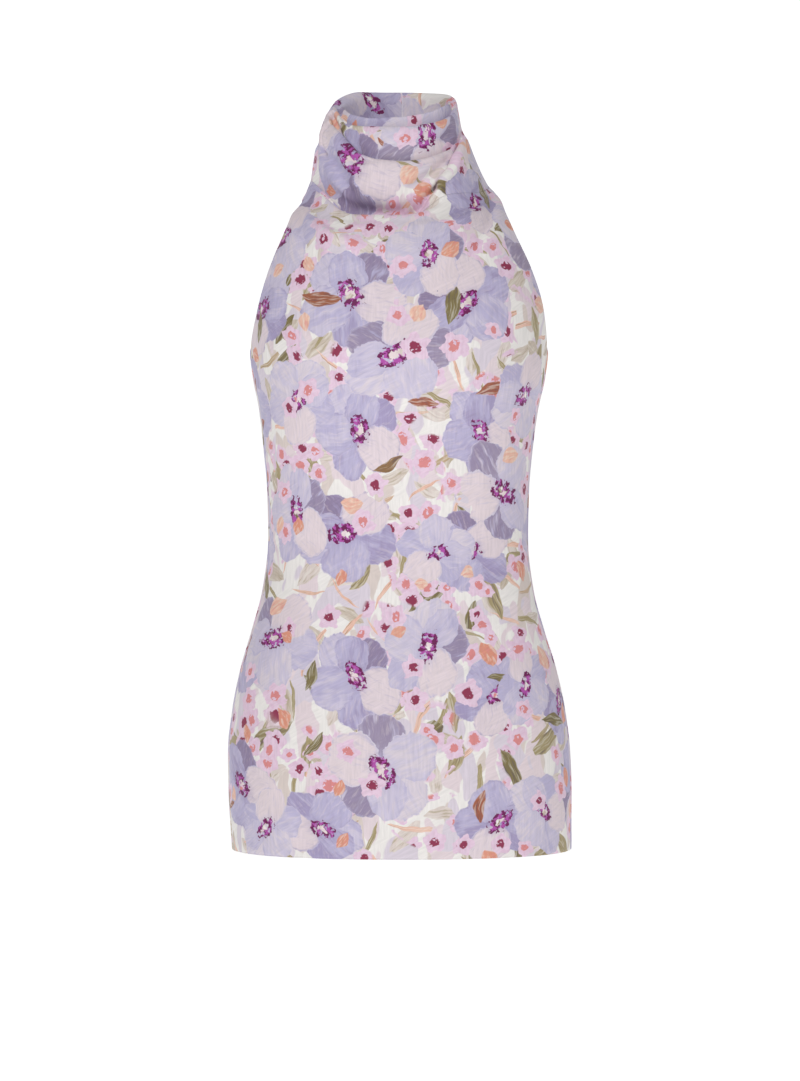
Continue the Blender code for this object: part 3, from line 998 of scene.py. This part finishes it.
class Kit:
    """Adds nodes to one tree and wires them together."""

    def __init__(self, tree: bpy.types.NodeTree) -> None:
        """Keeps the tree."""
        self.tree = tree

    def put(self, socket: bpy.types.NodeSocket, value: Value) -> None:
        """Wires a value to a socket, or sets it there.

        Args:
            socket: an input of a node.
            value: the output that goes into it, or a plain value.
        """
        if isinstance(value, Wire):
            self.tree.links.new(value.socket, socket)
        else:
            socket.default_value = value

    def node(self, kind: str, inputs: dict[int | str, Value],
             **settings: object) -> bpy.types.Node:
        """Adds a node.

        Args:
            kind: its type, without the word that all shader node types start with.
            inputs: what goes into each of its sockets.
            settings: its other properties.

        Returns:
            The node.
        """
        made = self.tree.nodes.new("ShaderNode" + kind)
        for name, value in settings.items():
            setattr(made, name, value)
        for name, value in inputs.items():
            self.put(made.inputs[name], value)
        return made

    def out(self, node: bpy.types.Node, name: int | str = 0) -> Wire:
        """One output of a node."""
        return Wire(self, node.outputs[name])

    def math(self, operation: str, first: Value, second: Value = 0.0) -> Wire:
        """A math node's result."""
        return self.out(self.node("Math", {0: first, 1: second}, operation=operation))

    def vector(self, operation: str, first: Value, second: Value = (0.0, 0.0, 0.0)) -> Wire:
        """A vector math node's result, a number where the operation gives one.

        Args:
            operation: what it does.
            first: its first vector.
            second: its second vector, where it takes two.

        Returns:
            The result.
        """
        made = self.node("VectorMath", {0: first, 1: second}, operation=operation)
        number = operation in ("LENGTH", "DISTANCE", "DOT_PRODUCT")
        return self.out(made, "Value" if number else "Vector")

    def scaled(self, vector: Value, by: Value) -> Wire:
        """A vector times a number."""
        return self.out(self.node("VectorMath", {0: vector, "Scale": by}, operation="SCALE"))

    def step(self, value: Value, low: float, high: float) -> Wire:
        """A number that rises smoothly from 0 to 1.

        Args:
            value: what it follows.
            low: the value at which it is 0.
            high: the value at which it is 1, which may be the lower of the two.

        Returns:
            The number.
        """
        made = self.node("MapRange", {"Value": value, "From Min": low, "From Max": high},
                         interpolation_type="SMOOTHSTEP")
        return self.out(made, "Result")

    def mixed(self, share: Value, first: Value, second: Value) -> Wire:
        """The first colour blended towards the second by a share."""
        made = self.node("Mix", {0: share, 6: first, 7: second}, data_type="RGBA")
        return self.out(made, 2)

    def mixed_vector(self, share: Value, first: Value, second: Value) -> Wire:
        """The first vector blended towards the second by a share."""
        made = self.node("Mix", {0: share, 4: first, 5: second}, data_type="VECTOR")
        return self.out(made, 1)

    def joined(self, x: Value, y: Value, z: Value = 0.0) -> Wire:
        """A vector of three numbers."""
        return self.out(self.node("CombineXYZ", {0: x, 1: y, 2: z}))

    def split(self, vector: Value) -> tuple[Wire, Wire, Wire]:
        """The three numbers of a vector."""
        made = self.node("SeparateXYZ", {0: vector})
        return self.out(made, 0), self.out(made, 1), self.out(made, 2)

    def noise(self, place: Value, scale: Value, detail: float = 2.0, roughness: float = 0.55,
              distortion: float = 0.0, dimensions: str = "2D") -> tuple[Wire, Wire]:
        """A noise texture.

        Args:
            place: where it is read.
            scale: how many of its waves lie on a unit of the place.
            detail: how many finer noises are added to it.
            roughness: the strength of each of them, as a share of the one before.
            distortion: how far it is stirred.
            dimensions: 2D or 3D.

        Returns:
            Its value and its colour.
        """
        made = self.node("TexNoise", {"Vector": place, "Scale": scale, "Detail": detail,
                                      "Roughness": roughness, "Distortion": distortion},
                         noise_dimensions=dimensions)
        return self.out(made, 0), self.out(made, 1)

    def cells(self, place: Value, size: Value, scatter: Value) -> tuple[Wire, Wire]:
        """The scattered cell that holds a place.

        Args:
            place: the place.
            size: the distance between the cells.
            scatter: how far they stray from an even grid, from 0 to 1.

        Returns:
            The cell's middle and its random colour.
        """
        made = self.node("TexVoronoi", {"Vector": place, "Scale": self.math("DIVIDE", 1.0, size),
                                        "Randomness": scatter},
                         voronoi_dimensions="2D", feature="F1")
        return self.out(made, "Position"), self.out(made, "Color")

    def push(self, place: Value, scale: float, reach: float) -> Wire:
        """A push to some side: a noise's colour, less a half, times its reach."""
        lean = self.vector("SUBTRACT", self.noise(place, scale, 1.0)[1], (0.5, 0.5, 0.5))
        return self.scaled(lean, reach)

    def strokes(self, along: Value, side: Value, seed: Value, scale: float, detail: float,
                roughness: float, distortion: float) -> Wire:
        """Brush strokes: a noise of the places along and beside them, with a seed as its depth."""
        return self.noise(self.joined(along, side, seed), scale, detail, roughness, distortion,
                          "3D")[0]

    def turned(self, vector: Value, angle: Value) -> Wire:
        """A vector turned about the upright axis."""
        return self.out(self.node("VectorRotate", {"Vector": vector, "Angle": angle},
                                  rotation_type="Z_AXIS"))

    def group(self, tree: bpy.types.NodeTree, **inputs: Value) -> tuple[Wire, ...]:
        """Places a group.

        Args:
            tree: the group.
            inputs: what goes into each of its inputs.

        Returns:
            Its outputs.
        """
        made = self.tree.nodes.new("ShaderNodeGroup")
        made.node_tree = tree
        for name, value in inputs.items():
            self.put(made.inputs[name], value)
        return tuple(Wire(self, socket) for socket in made.outputs)


class Group:
    """A node group with named inputs and outputs."""

    KINDS = {"vector": "NodeSocketVector", "number": "NodeSocketFloat", "colour": "NodeSocketColor"}

    def __init__(self, name: str, inputs: dict[str, str], outputs: dict[str, str]) -> None:
        """Makes the group's tree and its sockets.

        Args:
            name: its name.
            inputs: the kind of each input: vector, number or colour.
            outputs: the kind of each output.
        """
        self.tree = bpy.data.node_groups.new(name, "ShaderNodeTree")
        for direction, sockets in (("INPUT", inputs), ("OUTPUT", outputs)):
            for label, kind in sockets.items():
                self.tree.interface.new_socket(label, in_out=direction, socket_type=self.KINDS[kind])
        self.kit = Kit(self.tree)
        self._given = self.tree.nodes.new("NodeGroupInput")
        self._result = self.tree.nodes.new("NodeGroupOutput")

    def __getitem__(self, name: str) -> Wire:
        """One input of the group, seen from inside."""
        return self.kit.out(self._given, name)

    def give(self, **results: Value) -> None:
        """Wires the group's outputs."""
        for name, value in results.items():
            self.kit.put(self._result.inputs[name], value)


class Motif(Group):
    """The group of a painted motif, which stands once in each scattered cell."""

    def __init__(self, name: str, numbers: tuple[str, ...], colours: tuple[str, ...]) -> None:
        """Makes the group, with the shifted place.

        Args:
            name: its name.
            numbers: the names of its numbers, besides the distance between cells.
            colours: the names of its colours.
        """
        inputs = {"Place": "vector", "Shift": "vector", "Cell": "number",
                  **dict.fromkeys(numbers, "number"), **dict.fromkeys(colours, "colour")}
        super().__init__(name, inputs, {"Colour": "colour", "Mask": "number"})
        self.place = self.kit.vector("ADD", self["Place"], self["Shift"])

    def in_cell(self, looked_up: Wire, scatter: Value) -> tuple[Wire, ...]:
        """The place seen from the middle of the cell looked up, and the cell's random numbers."""
        middle, chance = self.kit.cells(looked_up, self["Cell"], scatter)
        return self.kit.vector("SUBTRACT", self.place, middle), *self.kit.split(chance)


# The print and the cloth's finish.


def paint(red: int, green: int, blue: int) -> tuple[float, float, float, float]:
    """A paint from its bytes, all over 10: over 255, plus 0.055, over 1.055, to the power 2.4."""
    return (*(((c / 255 + 0.055) / 1.055) ** 2.4 for c in (red, green, blue)), 1.0)


@dataclass(frozen=True)
class Palette:
    """The paints of the print."""

    ground: tuple = paint(242, 238, 235)
    warm_grey: tuple = paint(222, 209, 203)
    blush: tuple = paint(231, 216, 221)
    pale_lilac: tuple = paint(222, 212, 223)
    lavender: tuple = paint(209, 201, 222)
    blue_lavender: tuple = paint(190, 183, 214)
    deep_lavender: tuple = paint(168, 157, 194)
    grey_violet: tuple = paint(138, 120, 150)
    cream: tuple = paint(236, 220, 222)
    plum: tuple = paint(112, 28, 86)
    magenta: tuple = paint(182, 84, 172)
    pink: tuple = paint(234, 208, 227)
    rose: tuple = paint(228, 196, 218)
    coral_pink: tuple = paint(222, 142, 142)
    coral: tuple = paint(224, 152, 128)
    peach: tuple = paint(236, 190, 170)
    rust: tuple = paint(164, 94, 70)
    burgundy: tuple = paint(148, 54, 84)
    olive: tuple = paint(132, 118, 76)
    moss: tuple = paint(172, 156, 116)
    taupe: tuple = paint(206, 192, 178)
    slate: tuple = paint(92, 82, 98)


@dataclass(frozen=True)
class Petal:
    """One petal of a big flower, in shares of its radius, with half its length and width.

    Its angle is in degrees, and its tone is how dark it is, from 0 to 1.
    """

    angle: float
    reach: float
    long: float
    wide: float
    tone: float


class Motifs:
    """The node groups of the painted motifs, built once and shared by every material."""

    PETALS = (
        Petal(8.0, 0.52, 0.50, 0.47, 0.18),
        Petal(152.0, 0.50, 0.49, 0.45, 0.62),
        Petal(297.0, 0.51, 0.47, 0.43, 0.85),
        Petal(83.0, 0.53, 0.49, 0.46, 0.34),
        Petal(226.0, 0.54, 0.48, 0.48, 0.06),
        Petal(338.0, 0.49, 0.43, 0.38, 0.50),
    )

    def __init__(self) -> None:
        """Builds the groups."""
        self.wobble = self._wobble()
        self.flower = self._flower()
        self.leaf = self._leaf()
        self.blossom = self._blossom()

    @staticmethod
    def _wobble() -> bpy.types.NodeTree:
        """A place pushed about by two noises, so that painted edges aren't drawn with a compass.

        Returns:
            The group.
        """
        group = Group("hand_wobble", {"Place": "vector"}, {"Place": "vector"})
        kit, place = group.kit, group["Place"]
        pushed = kit.vector("ADD", place, kit.push(place, 0.045, 7.0))
        pushed = kit.vector("ADD", pushed, kit.push(place, 0.2, 0.7))
        group.give(Place=kit.vector("MULTIPLY", pushed, (1.0, 1.0, 0.0)))
        return group.tree

    def _petals(self, kit: Kit, local: Wire, ragged: Wire) -> tuple[Wire, Wire]:
        """The petals of a big flower, each a ragged ellipse that lies over those before it.

        Args:
            local: the place in the flower, in shares of its radius.
            ragged: how far the petals' edges are pushed out or in.

        Returns:
            The place in the uppermost petal, with its tone as the height, and the petals' mask.
        """
        top: Value = (0.0, 0.0, 0.0)
        covered: Value = 0.0
        for petal in self.PETALS:
            angle = math.radians(petal.angle)
            at = (petal.reach * math.cos(angle), petal.reach * math.sin(angle), -petal.tone)
            inside = kit.out(kit.node("Mapping", {
                "Vector": local, "Location": at, "Rotation": (0.0, 0.0, angle),
                "Scale": (petal.long, petal.wide, 1.0)}, vector_type="TEXTURE"))
            flat = kit.vector("MULTIPLY", inside, (1.0, 1.0, 0.0))
            share = kit.step(1.0 - kit.vector("LENGTH", flat) + ragged, 0.0, 0.07)
            top = kit.mixed_vector(share, top, inside)
            covered = kit.math("MAXIMUM", covered, share)
        return top, covered

    def _flower(self) -> bpy.types.NodeTree:
        """A big open flower in each cell: overlapping petals of long strokes, and a dark heart.

        Returns:
            The group.
        """
        group = Motif("big_flower", ("Radius", "Scatter"), (
            "Pale", "Middle", "Deep", "Shade", "Blush", "Plum", "Magenta", "Cream"))
        kit, place = group.kit, group.place
        stirred = kit.vector("ADD", place, kit.push(place, 0.05, 60.0))
        local, red, green, blue = group.in_cell(stirred, group["Scatter"])
        size = group["Radius"] * (green * 0.34 + 0.83)
        local = kit.scaled(kit.turned(local, red * TURN), kit.math("DIVIDE", 1.0, size))
        local = kit.vector("MULTIPLY", local, kit.joined(1.0, blue * 0.38 + 1.0, 1.0))
        ragged = (kit.noise(place, 0.16, 2.0, 0.5)[0] - 0.5) * 0.22
        top, covered = self._petals(kit, local, ragged)
        along, side, tone = kit.split(top)
        seed = tone * 9.0 + red * 40.0
        strokes = kit.strokes(along * 0.7, side * 3.6, seed, 1.5, 2.0, 0.55, 0.1)
        blotch = kit.strokes(along * 1.2, side * 1.7, seed, 1.0, 1.0, 0.5, 0.5)
        bristles = kit.strokes(along * 0.9, side * 5.0, seed, 2.0, 2.0, 0.6, 0.1)
        depth = tone * 0.85 + strokes * 0.62 + blotch * 0.75 - 0.74 + blue * 0.24
        dark = kit.step(tone + green * 0.5, 1.02, 1.04) * kit.step(strokes, 0.22, 0.46)
        rim = kit.step(kit.vector("LENGTH", kit.joined(along, side)) + strokes * 0.3, 1.0, 1.16)
        from_heart = kit.vector("SUBTRACT", local, (0.06, -0.04, 0.0))
        distance = kit.vector("LENGTH", kit.vector("MULTIPLY", from_heart, (1.0, 1.5, 0.0)))
        throat = kit.step(distance + (strokes - 0.5) * 0.4, 0.52, 0.2)
        colour = kit.mixed(kit.step(depth, 0.14, 0.4), group["Pale"], group["Middle"])
        for share, paint_name in (
                (kit.step(depth, 0.44, 0.74), "Deep"),
                (kit.step(tone, 0.1, 0.08) * 0.9, "Blush"),
                (dark * 0.72, "Shade"),
                (rim * 0.75, "Deep"),
                (kit.step(bristles, 0.5, 0.74) * 0.3, "Cream"),
                (kit.step(bristles, 0.48, 0.26) * 0.26, "Deep"),
                (throat * 0.4, "Deep")):
            colour = kit.mixed(share, colour, group[paint_name])
        speck, hue = kit.noise(place, 0.2, 2.0, 0.6)
        patchy, _, broken = kit.split(hue)
        torn = distance + (speck - 0.5) * 0.34
        ring = kit.step(torn, 0.31, 0.285) * kit.step(torn, 0.06, 0.09)
        heart = kit.mixed(kit.step(patchy, 0.45, 0.56), group["Plum"], group["Magenta"])
        colour = kit.mixed(kit.step(torn, 0.125, 0.095), colour, group["Cream"])
        colour = kit.mixed(ring * kit.step(broken, 0.4, 0.44), colour, heart)
        group.give(Colour=colour, Mask=covered)
        return group.tree

    @staticmethod
    def _leaf() -> bpy.types.NodeTree:
        """A pointed dab in some of the cells: as wide as 1 less the square of the share along.

        Returns:
            The group.
        """
        group = Motif("painted_leaf", ("Long", "Wide", "Bend", "Chance"),
                      ("First", "Second", "Third"))
        kit = group.kit
        local, red, green, blue = group.in_cell(group.place, 0.85)
        x, y, _ = kit.split(kit.turned(local, red * TURN))
        size = green * 0.6 + 0.7
        along = x / (group["Long"] * size)
        across = y / (group["Wide"] * size) + along * along * group["Bend"]
        strokes = kit.strokes(along * 0.8, across * 2.2, red * 50.0, 1.5, 2.0, 0.5, 0.15)
        inside = 1.0 - along * along - kit.math("ABSOLUTE", across) + (strokes - 0.5) * 0.4
        kept = kit.math("LESS_THAN", blue, group["Chance"])
        colour = kit.mixed(kit.step(red, 0.35, 0.55), group["First"], group["Second"])
        lighter = kit.mixed(0.4, colour, (0.9, 0.87, 0.8, 1.0))
        colour = kit.mixed(kit.step(strokes, 0.48, 0.66), colour, lighter)
        colour = kit.mixed(kit.step(strokes, 0.46, 0.3) * 0.6, colour, group["Third"])
        group.give(Colour=colour, Mask=kit.step(inside, 0.0, 0.12) * kept)
        return group.tree

    @staticmethod
    def _blossom() -> bpy.types.NodeTree:
        """A small flower in some of the cells: five lobes by the cosine of five times the angle.

        Returns:
            The group.
        """
        group = Motif("small_blossom", ("Radius", "Chance"), ("Pale", "Deep", "Dab", "Other_Dab"))
        kit = group.kit
        local, red, green, blue = group.in_cell(group.place, 0.7)
        x, y, _ = kit.split(local)
        lobes = kit.math("COSINE", kit.math("ARCTAN2", y, x) * 5.0 + red * TURN) * 0.11 + 0.87
        speck, hue = kit.noise(group.place, 0.22, 2.0, 0.5)
        distance = kit.vector("LENGTH", local) / (group["Radius"] * (green * 0.5 + 0.7))
        distance = distance + (speck - 0.5) * 0.42
        colour = kit.mixed(kit.step(kit.split(hue)[1], 0.42, 0.66) * 0.8, group["Pale"],
                           group["Deep"])
        dab = kit.mixed(kit.step(red, 0.62, 0.64), group["Dab"], group["Other_Dab"])
        inner = kit.step(distance, 0.4, 0.34) * kit.step(speck, 0.34, 0.38)
        kept = kit.math("LESS_THAN", blue, group["Chance"])
        group.give(Colour=kit.mixed(inner, colour, dab),
                   Mask=kit.step(lobes - distance, 0.0, 0.06) * kept)
        return group.tree


@dataclass(frozen=True)
class Layer:
    """One motif, scattered over the cloth in shifted cells, or in clusters of them only.

    Its paints are the palette's names for the colours of the motif's group.
    """

    motif: str
    shift: tuple[float, float]
    numbers: dict[str, float]
    paints: dict[str, str]
    clustered: bool = False

    @classmethod
    def of_dabs(cls, shift: tuple[float, float], cell: float, long: float, wide: float,
                bend: float, chance: float, *paints: str) -> "Layer":
        """A layer of pointed dabs, of half a length and width, in a share of the cells."""
        numbers = {"Cell": cell, "Long": long, "Wide": wide, "Bend": bend, "Chance": chance}
        return cls("leaf", shift, numbers, dict(zip(("First", "Second", "Third"), paints)))

    @classmethod
    def of_blossoms(cls, shift: tuple[float, float], cell: float, chance: float,
                    clustered: bool) -> "Layer":
        """A layer of small flowers.

        Args:
            shift: how far its cells are shifted.
            cell: the distance between them.
            chance: the share of the cells that have a flower.
            clustered: whether they stand in clusters only.

        Returns:
            The layer.
        """
        paints = {"Pale": "pink", "Deep": "rose", "Dab": "coral_pink", "Other_Dab": "burgundy"}
        numbers = {"Cell": cell, "Radius": 12.0, "Chance": chance}
        return cls("blossom", shift, numbers, paints, clustered)

    @classmethod
    def of_flowers(cls, shift: tuple[float, float], cell: float, radius: float, scatter: float,
                   pale: str, middle: str, deep: str) -> "Layer":
        """A layer of big flowers, one in each cell.

        Args:
            shift: how far its cells are shifted.
            cell: the distance between them.
            radius: the radius of a flower.
            scatter: how far the cells stray from an even grid.
            pale: the name of the petals' palest paint.
            middle: the name of their middle paint.
            deep: the name of their deepest paint.

        Returns:
            The layer.
        """
        paints = {"Pale": pale, "Middle": middle, "Deep": deep, "Shade": "grey_violet",
                  "Blush": "blush", "Plum": "plum", "Magenta": "magenta", "Cream": "cream"}
        numbers = {"Cell": cell, "Radius": radius, "Scatter": scatter}
        return cls("flower", shift, numbers, paints)


@dataclass(frozen=True)
class FloralPrint:
    """The painted print: layers of motifs, from the lowest up, over an off-white ground."""

    palette: Palette = Palette()
    layers: tuple[Layer, ...] = (
        Layer.of_dabs((13.0, 71.0), 30.0, 17.0, 6.5, 0.25, 0.6, "taupe", "warm_grey", "moss"),
        Layer.of_dabs((331.0, 17.0), 33.0, 26.0, 2.1, 1.6, 0.55, "moss", "peach", "olive"),
        Layer.of_dabs((57.0, 211.0), 44.0, 21.0, 7.0, 0.35, 0.45, "moss", "olive", "slate"),
        Layer.of_blossoms((7.0, 3.0), 21.0, 0.85, clustered=True),
        Layer.of_flowers((40.0, 25.0), 116.0, 50.0, 0.45, "lavender", "blue_lavender",
                         "deep_lavender"),
        Layer.of_dabs((123.0, 45.0), 63.0, 19.0, 6.0, 0.3, 0.42, "olive", "rust", "slate"),
        Layer.of_flowers((-511.0, 307.0), 125.28, 46.5, 0.5, "pale_lilac", "lavender",
                         "blue_lavender"),
        Layer.of_blossoms((211.0, 87.0), 40.0, 0.28, clustered=False),
        Layer.of_dabs((77.0, 401.0), 47.0, 10.0, 7.0, 0.2, 0.3, "coral", "peach", "coral_pink"),
    )

    def _ground(self, kit: Kit, place: Wire) -> Wire:
        """The off-white ground, with pale washes of three paints.

        Args:
            place: the wobbled place.

        Returns:
            The ground's colour.
        """
        brushed = kit.vector("MULTIPLY", place, (0.04, 0.02, 0.0))
        tints = kit.noise(kit.turned(brushed, 0.6), 1.0, 1.0, 0.5, 0.2)[1]
        colour: Value = self.palette.ground
        washes = (self.palette.warm_grey, self.palette.blush, self.palette.pale_lilac)
        for tint, start, wash in zip(kit.split(tints), (0.6, 0.56, 0.57), washes):
            colour = kit.mixed(kit.step(tint, start, start + 0.03), colour, wash)
        return colour

    @staticmethod
    def _hairs(kit: Kit, pushed: Wire, place: Wire) -> Wire:
        """The fine streaks of dry paint: upright in some patches, and slanted in the others.

        Args:
            pushed: the wobbled place, which sets the patches.
            place: the place, which sets the streaks.

        Returns:
            How light the streaks are.
        """
        patch = kit.step(kit.noise(pushed, 0.03, 1.0)[0], 0.46, 0.54)
        upright, slanted = (
            kit.noise(kit.vector("MULTIPLY", way, (0.45, 0.05, 0.0)), 1.0, 2.0, 0.6)[0]
            for way in (place, kit.turned(place, 1.1)))
        return upright * (1.0 - patch) + slanted * patch

    def build(self, motifs: Motifs) -> bpy.types.NodeTree:
        """The whole print as one group, from a place in millimetres to a colour.

        Args:
            motifs: the motifs' groups.

        Returns:
            The group.
        """
        group = Group("floral_print", {"Place": "vector"}, {"Colour": "colour"})
        kit = group.kit
        place, = kit.group(motifs.wobble, Place=group["Place"])
        colour = self._ground(kit, place)
        cluster = kit.step(kit.noise(place, 0.013, 1.0)[0], 0.47, 0.5)
        for layer in self.layers:
            paints = {use: getattr(self.palette, name) for use, name in layer.paints.items()}
            top, mask = kit.group(getattr(motifs, layer.motif), Place=place,
                                  Shift=(*layer.shift, 0.0), **layer.numbers, **paints)
            colour = kit.mixed(mask * cluster if layer.clustered else mask, colour, top)
        hairs = self._hairs(kit, place, group["Place"])
        group.give(Colour=kit.scaled(colour, hairs * 0.26 + 0.87))
        return group.tree


@dataclass(frozen=True)
class PrintedCrepe:
    """The cloth of the top: fine crepe with a soft sheen, and a pale reverse.

    Args:
        name: the material's name.
        roughness: how matt it is, at its mean.
        mottle: how far its roughness varies.
        sheen: how much its nap catches the light.
        lost_behind: how much of the print is lost on the reverse.
        threads: the turns of the weave's wave in a millimetre, in radians.
        pebbles: how many pebbles of the crepe lie on a millimetre.
        relief: the height of the weave and the pebbles, in metres.
    """

    name: str
    roughness: float = 0.62
    mottle: float = 0.12
    sheen: float = 0.12
    lost_behind: float = 0.45
    threads: float = 9.0
    pebbles: float = 2.2
    relief: float = 0.0001

    def build(self, printed: bpy.types.NodeTree, palette: Palette) -> bpy.types.Material:
        """The material, which reads the flat places of the cloth from its UV map.

        Args:
            printed: the print's group.
            palette: the print's paints.

        Returns:
            The material.
        """
        material = bpy.data.materials.new(self.name)
        material.use_nodes = True
        kit = Kit(material.node_tree)
        place = kit.scaled(kit.out(kit.node("UVMap", {}, uv_map="flat")), 1.0 / MM)
        colour, = kit.group(printed, Place=place)
        reverse = kit.out(kit.node("Attribute", {}, attribute_name="reverse"), "Fac")
        x, y, _ = kit.split(place)
        weave = kit.math("SINE", x * self.threads) * kit.math("SINE", y * self.threads)
        pebble = kit.noise(place, self.pebbles, 2.0, 0.6)[0]
        bump = kit.node("Bump", {"Strength": 0.25, "Distance": self.relief,
                                 "Height": weave * 0.35 + pebble})
        finish = {"Base Color": kit.mixed(reverse * self.lost_behind, colour, palette.ground),
                  "Roughness": pebble * self.mottle + (self.roughness - self.mottle / 2),
                  "Normal": kit.out(bump), "Sheen Weight": self.sheen,
                  "Sheen Roughness": 0.45, "Specular IOR Level": 0.35}
        for socket, value in finish.items():
            kit.put(material.node_tree.nodes["Principled BSDF"].inputs[socket], value)
        return material


# The studio.


@dataclass(frozen=True)
class Softbox:
    """A soft square light that faces a point, in metres and watts."""

    name: str
    place: tuple[float, float, float]
    aim: tuple[float, float, float]
    width: float
    power: float

    def build(self) -> None:
        """Makes the light."""
        lamp = bpy.data.lights.new(self.name, "AREA")
        lamp.size = self.width
        lamp.energy = self.power
        light = placed(self.name, lamp)
        light.location = self.place
        towards = np.subtract(self.aim, self.place)
        flat = math.hypot(towards[0], towards[1])
        light.rotation_euler = (math.atan2(flat, -towards[2]), 0.0,
                                math.atan2(-towards[0], towards[1]))


@dataclass(frozen=True)
class Studio:
    """A pale sweep of floor and backdrop, soft lights, and the camera of the front view.

    Args:
        eye: where the camera stands, in metres.
        lens: its focal length in millimetres, for a frame that is 36 mm tall.
        floor: the height of the floor, in metres.
        near: how far the floor runs towards the camera.
        far: how far behind the top the backdrop stands.
        half_width: half the width of the sweep.
        height: how high the backdrop rises above the floor.
        bend: the radius of the curve between floor and backdrop.
        sky: the brightness of the light from all round.
        seen_sky: how bright the sky looks to the camera.
        boxes: the soft lights.
    """

    eye: tuple[float, float, float] = (0.0009, -3.072, -0.326)
    lens: float = 109.56
    floor: float = -1.05
    near: float = 3.6
    far: float = 4.0
    half_width: float = 4.5
    height: float = 4.0
    bend: float = 1.6
    sky: float = 0.2
    seen_sky: float = 0.85
    boxes: tuple[Softbox, ...] = (
        Softbox("key", (-0.9, -2.2, 1.7), (0.0, 0.0, -0.25), 1.1, 38.5),
        Softbox("fill", (1.9, -2.2, 0.1), (0.0, 0.0, -0.3), 1.6, 12.0),
    )

    def camera(self) -> None:
        """Makes the camera, level and square to the front."""
        optics = bpy.data.cameras.new("front_view")
        optics.lens = self.lens
        optics.sensor_width = 36.0
        camera = placed("front_view", optics)
        camera.location = self.eye
        camera.rotation_euler = (math.pi / 2, 0.0, 0.0)
        bpy.context.scene.camera = camera

    def sweep(self) -> None:
        """Makes the floor and backdrop: a level line, a quarter circle and an upright line."""
        turn = np.linspace(0.0, math.pi / 2, 25)
        y = np.concatenate([[-self.near], self.far - self.bend + self.bend * np.sin(turn),
                            [self.far]])
        z = self.floor + np.concatenate([[0.0], self.bend * (1 - np.cos(turn)), [self.height]])
        x = np.linspace(-self.half_width, self.half_width, 2)
        grid = np.stack([np.repeat(x[None], len(y), 0), np.repeat(y[:, None], 2, 1),
                         np.repeat(z[:, None], 2, 1)], -1)
        at = np.arange(2 * len(y)).reshape(-1, 2)
        faces = np.stack([at[:-1, 0], at[:-1, 1], at[1:, 1], at[1:, 0]], -1)
        mesh = bpy.data.meshes.new("backdrop")
        mesh.from_pydata(grid.reshape(-1, 3).tolist(), [], faces.tolist())
        mesh.shade_smooth()
        mesh.materials.append(self._paper())
        placed("backdrop", mesh)

    @staticmethod
    def _paper() -> bpy.types.Material:
        """The matt white paper of the sweep.

        Returns:
            The material.
        """
        material = bpy.data.materials.new("backdrop_paper")
        material.use_nodes = True
        finish = {"Base Color": (0.94, 0.94, 0.94, 1.0), "Roughness": 0.9,
                  "Emission Color": (1.0, 1.0, 1.0, 1.0), "Emission Strength": 0.6}
        for socket, value in finish.items():
            material.node_tree.nodes["Principled BSDF"].inputs[socket].default_value = value
        return material

    def build(self) -> None:
        """Makes the camera, the sweep, the sky and the lights."""
        self.camera()
        self.sweep()
        world = bpy.data.worlds.new("soft_sky")
        world.use_nodes = True
        kit = Kit(world.node_tree)
        sky = world.node_tree.nodes["Background"]
        seen = kit.out(kit.node("LightPath", {}), "Is Camera Ray")
        sky.inputs["Color"].default_value = (1.0, 1.0, 1.0, 1.0)
        kit.put(sky.inputs["Strength"], seen * (self.seen_sky - self.sky) + self.sky)
        bpy.context.scene.world = world
        bpy.context.scene.view_settings.view_transform = "Standard"
        for box in self.boxes:
            box.build()


def main() -> None:
    """Dresses the frame: the front, the two halves of the back, the collar and the studio."""
    logging.basicConfig(level=logging.INFO, format="%(message)s")
    Studio().build()
    printed = FloralPrint().build(Motifs())
    cloths = {slot: PrintedCrepe(slot).build(printed, Palette())
              for slot in ("front_cloth", "back_cloth", "collar_cloth")}
    front = FrontPanel("front", "front_cloth", flat=(0.41, 0.68), area=0.213,
                       print_shift=(35.0, -1210.0))
    half_back = {"slot": "back_cloth", "flat": (0.28, 0.66), "area": 0.117}
    left = BackPanel("back_left", print_shift=(1460.0, 0.0), side=Side.LEFT, **half_back)
    right = BackPanel("back_right", print_shift=(2310.0, 140.0), side=Side.RIGHT, **half_back)
    collar = CowlCollar("collar", "collar_cloth", flat=(0.46, 0.22), area=0.058,
                        print_shift=front.print_shift, strip=1.6, front=front)
    for panel in (front, left, right, collar):
        panel.build(cloths[panel.slot])


if __name__ == "__main__":
    main()
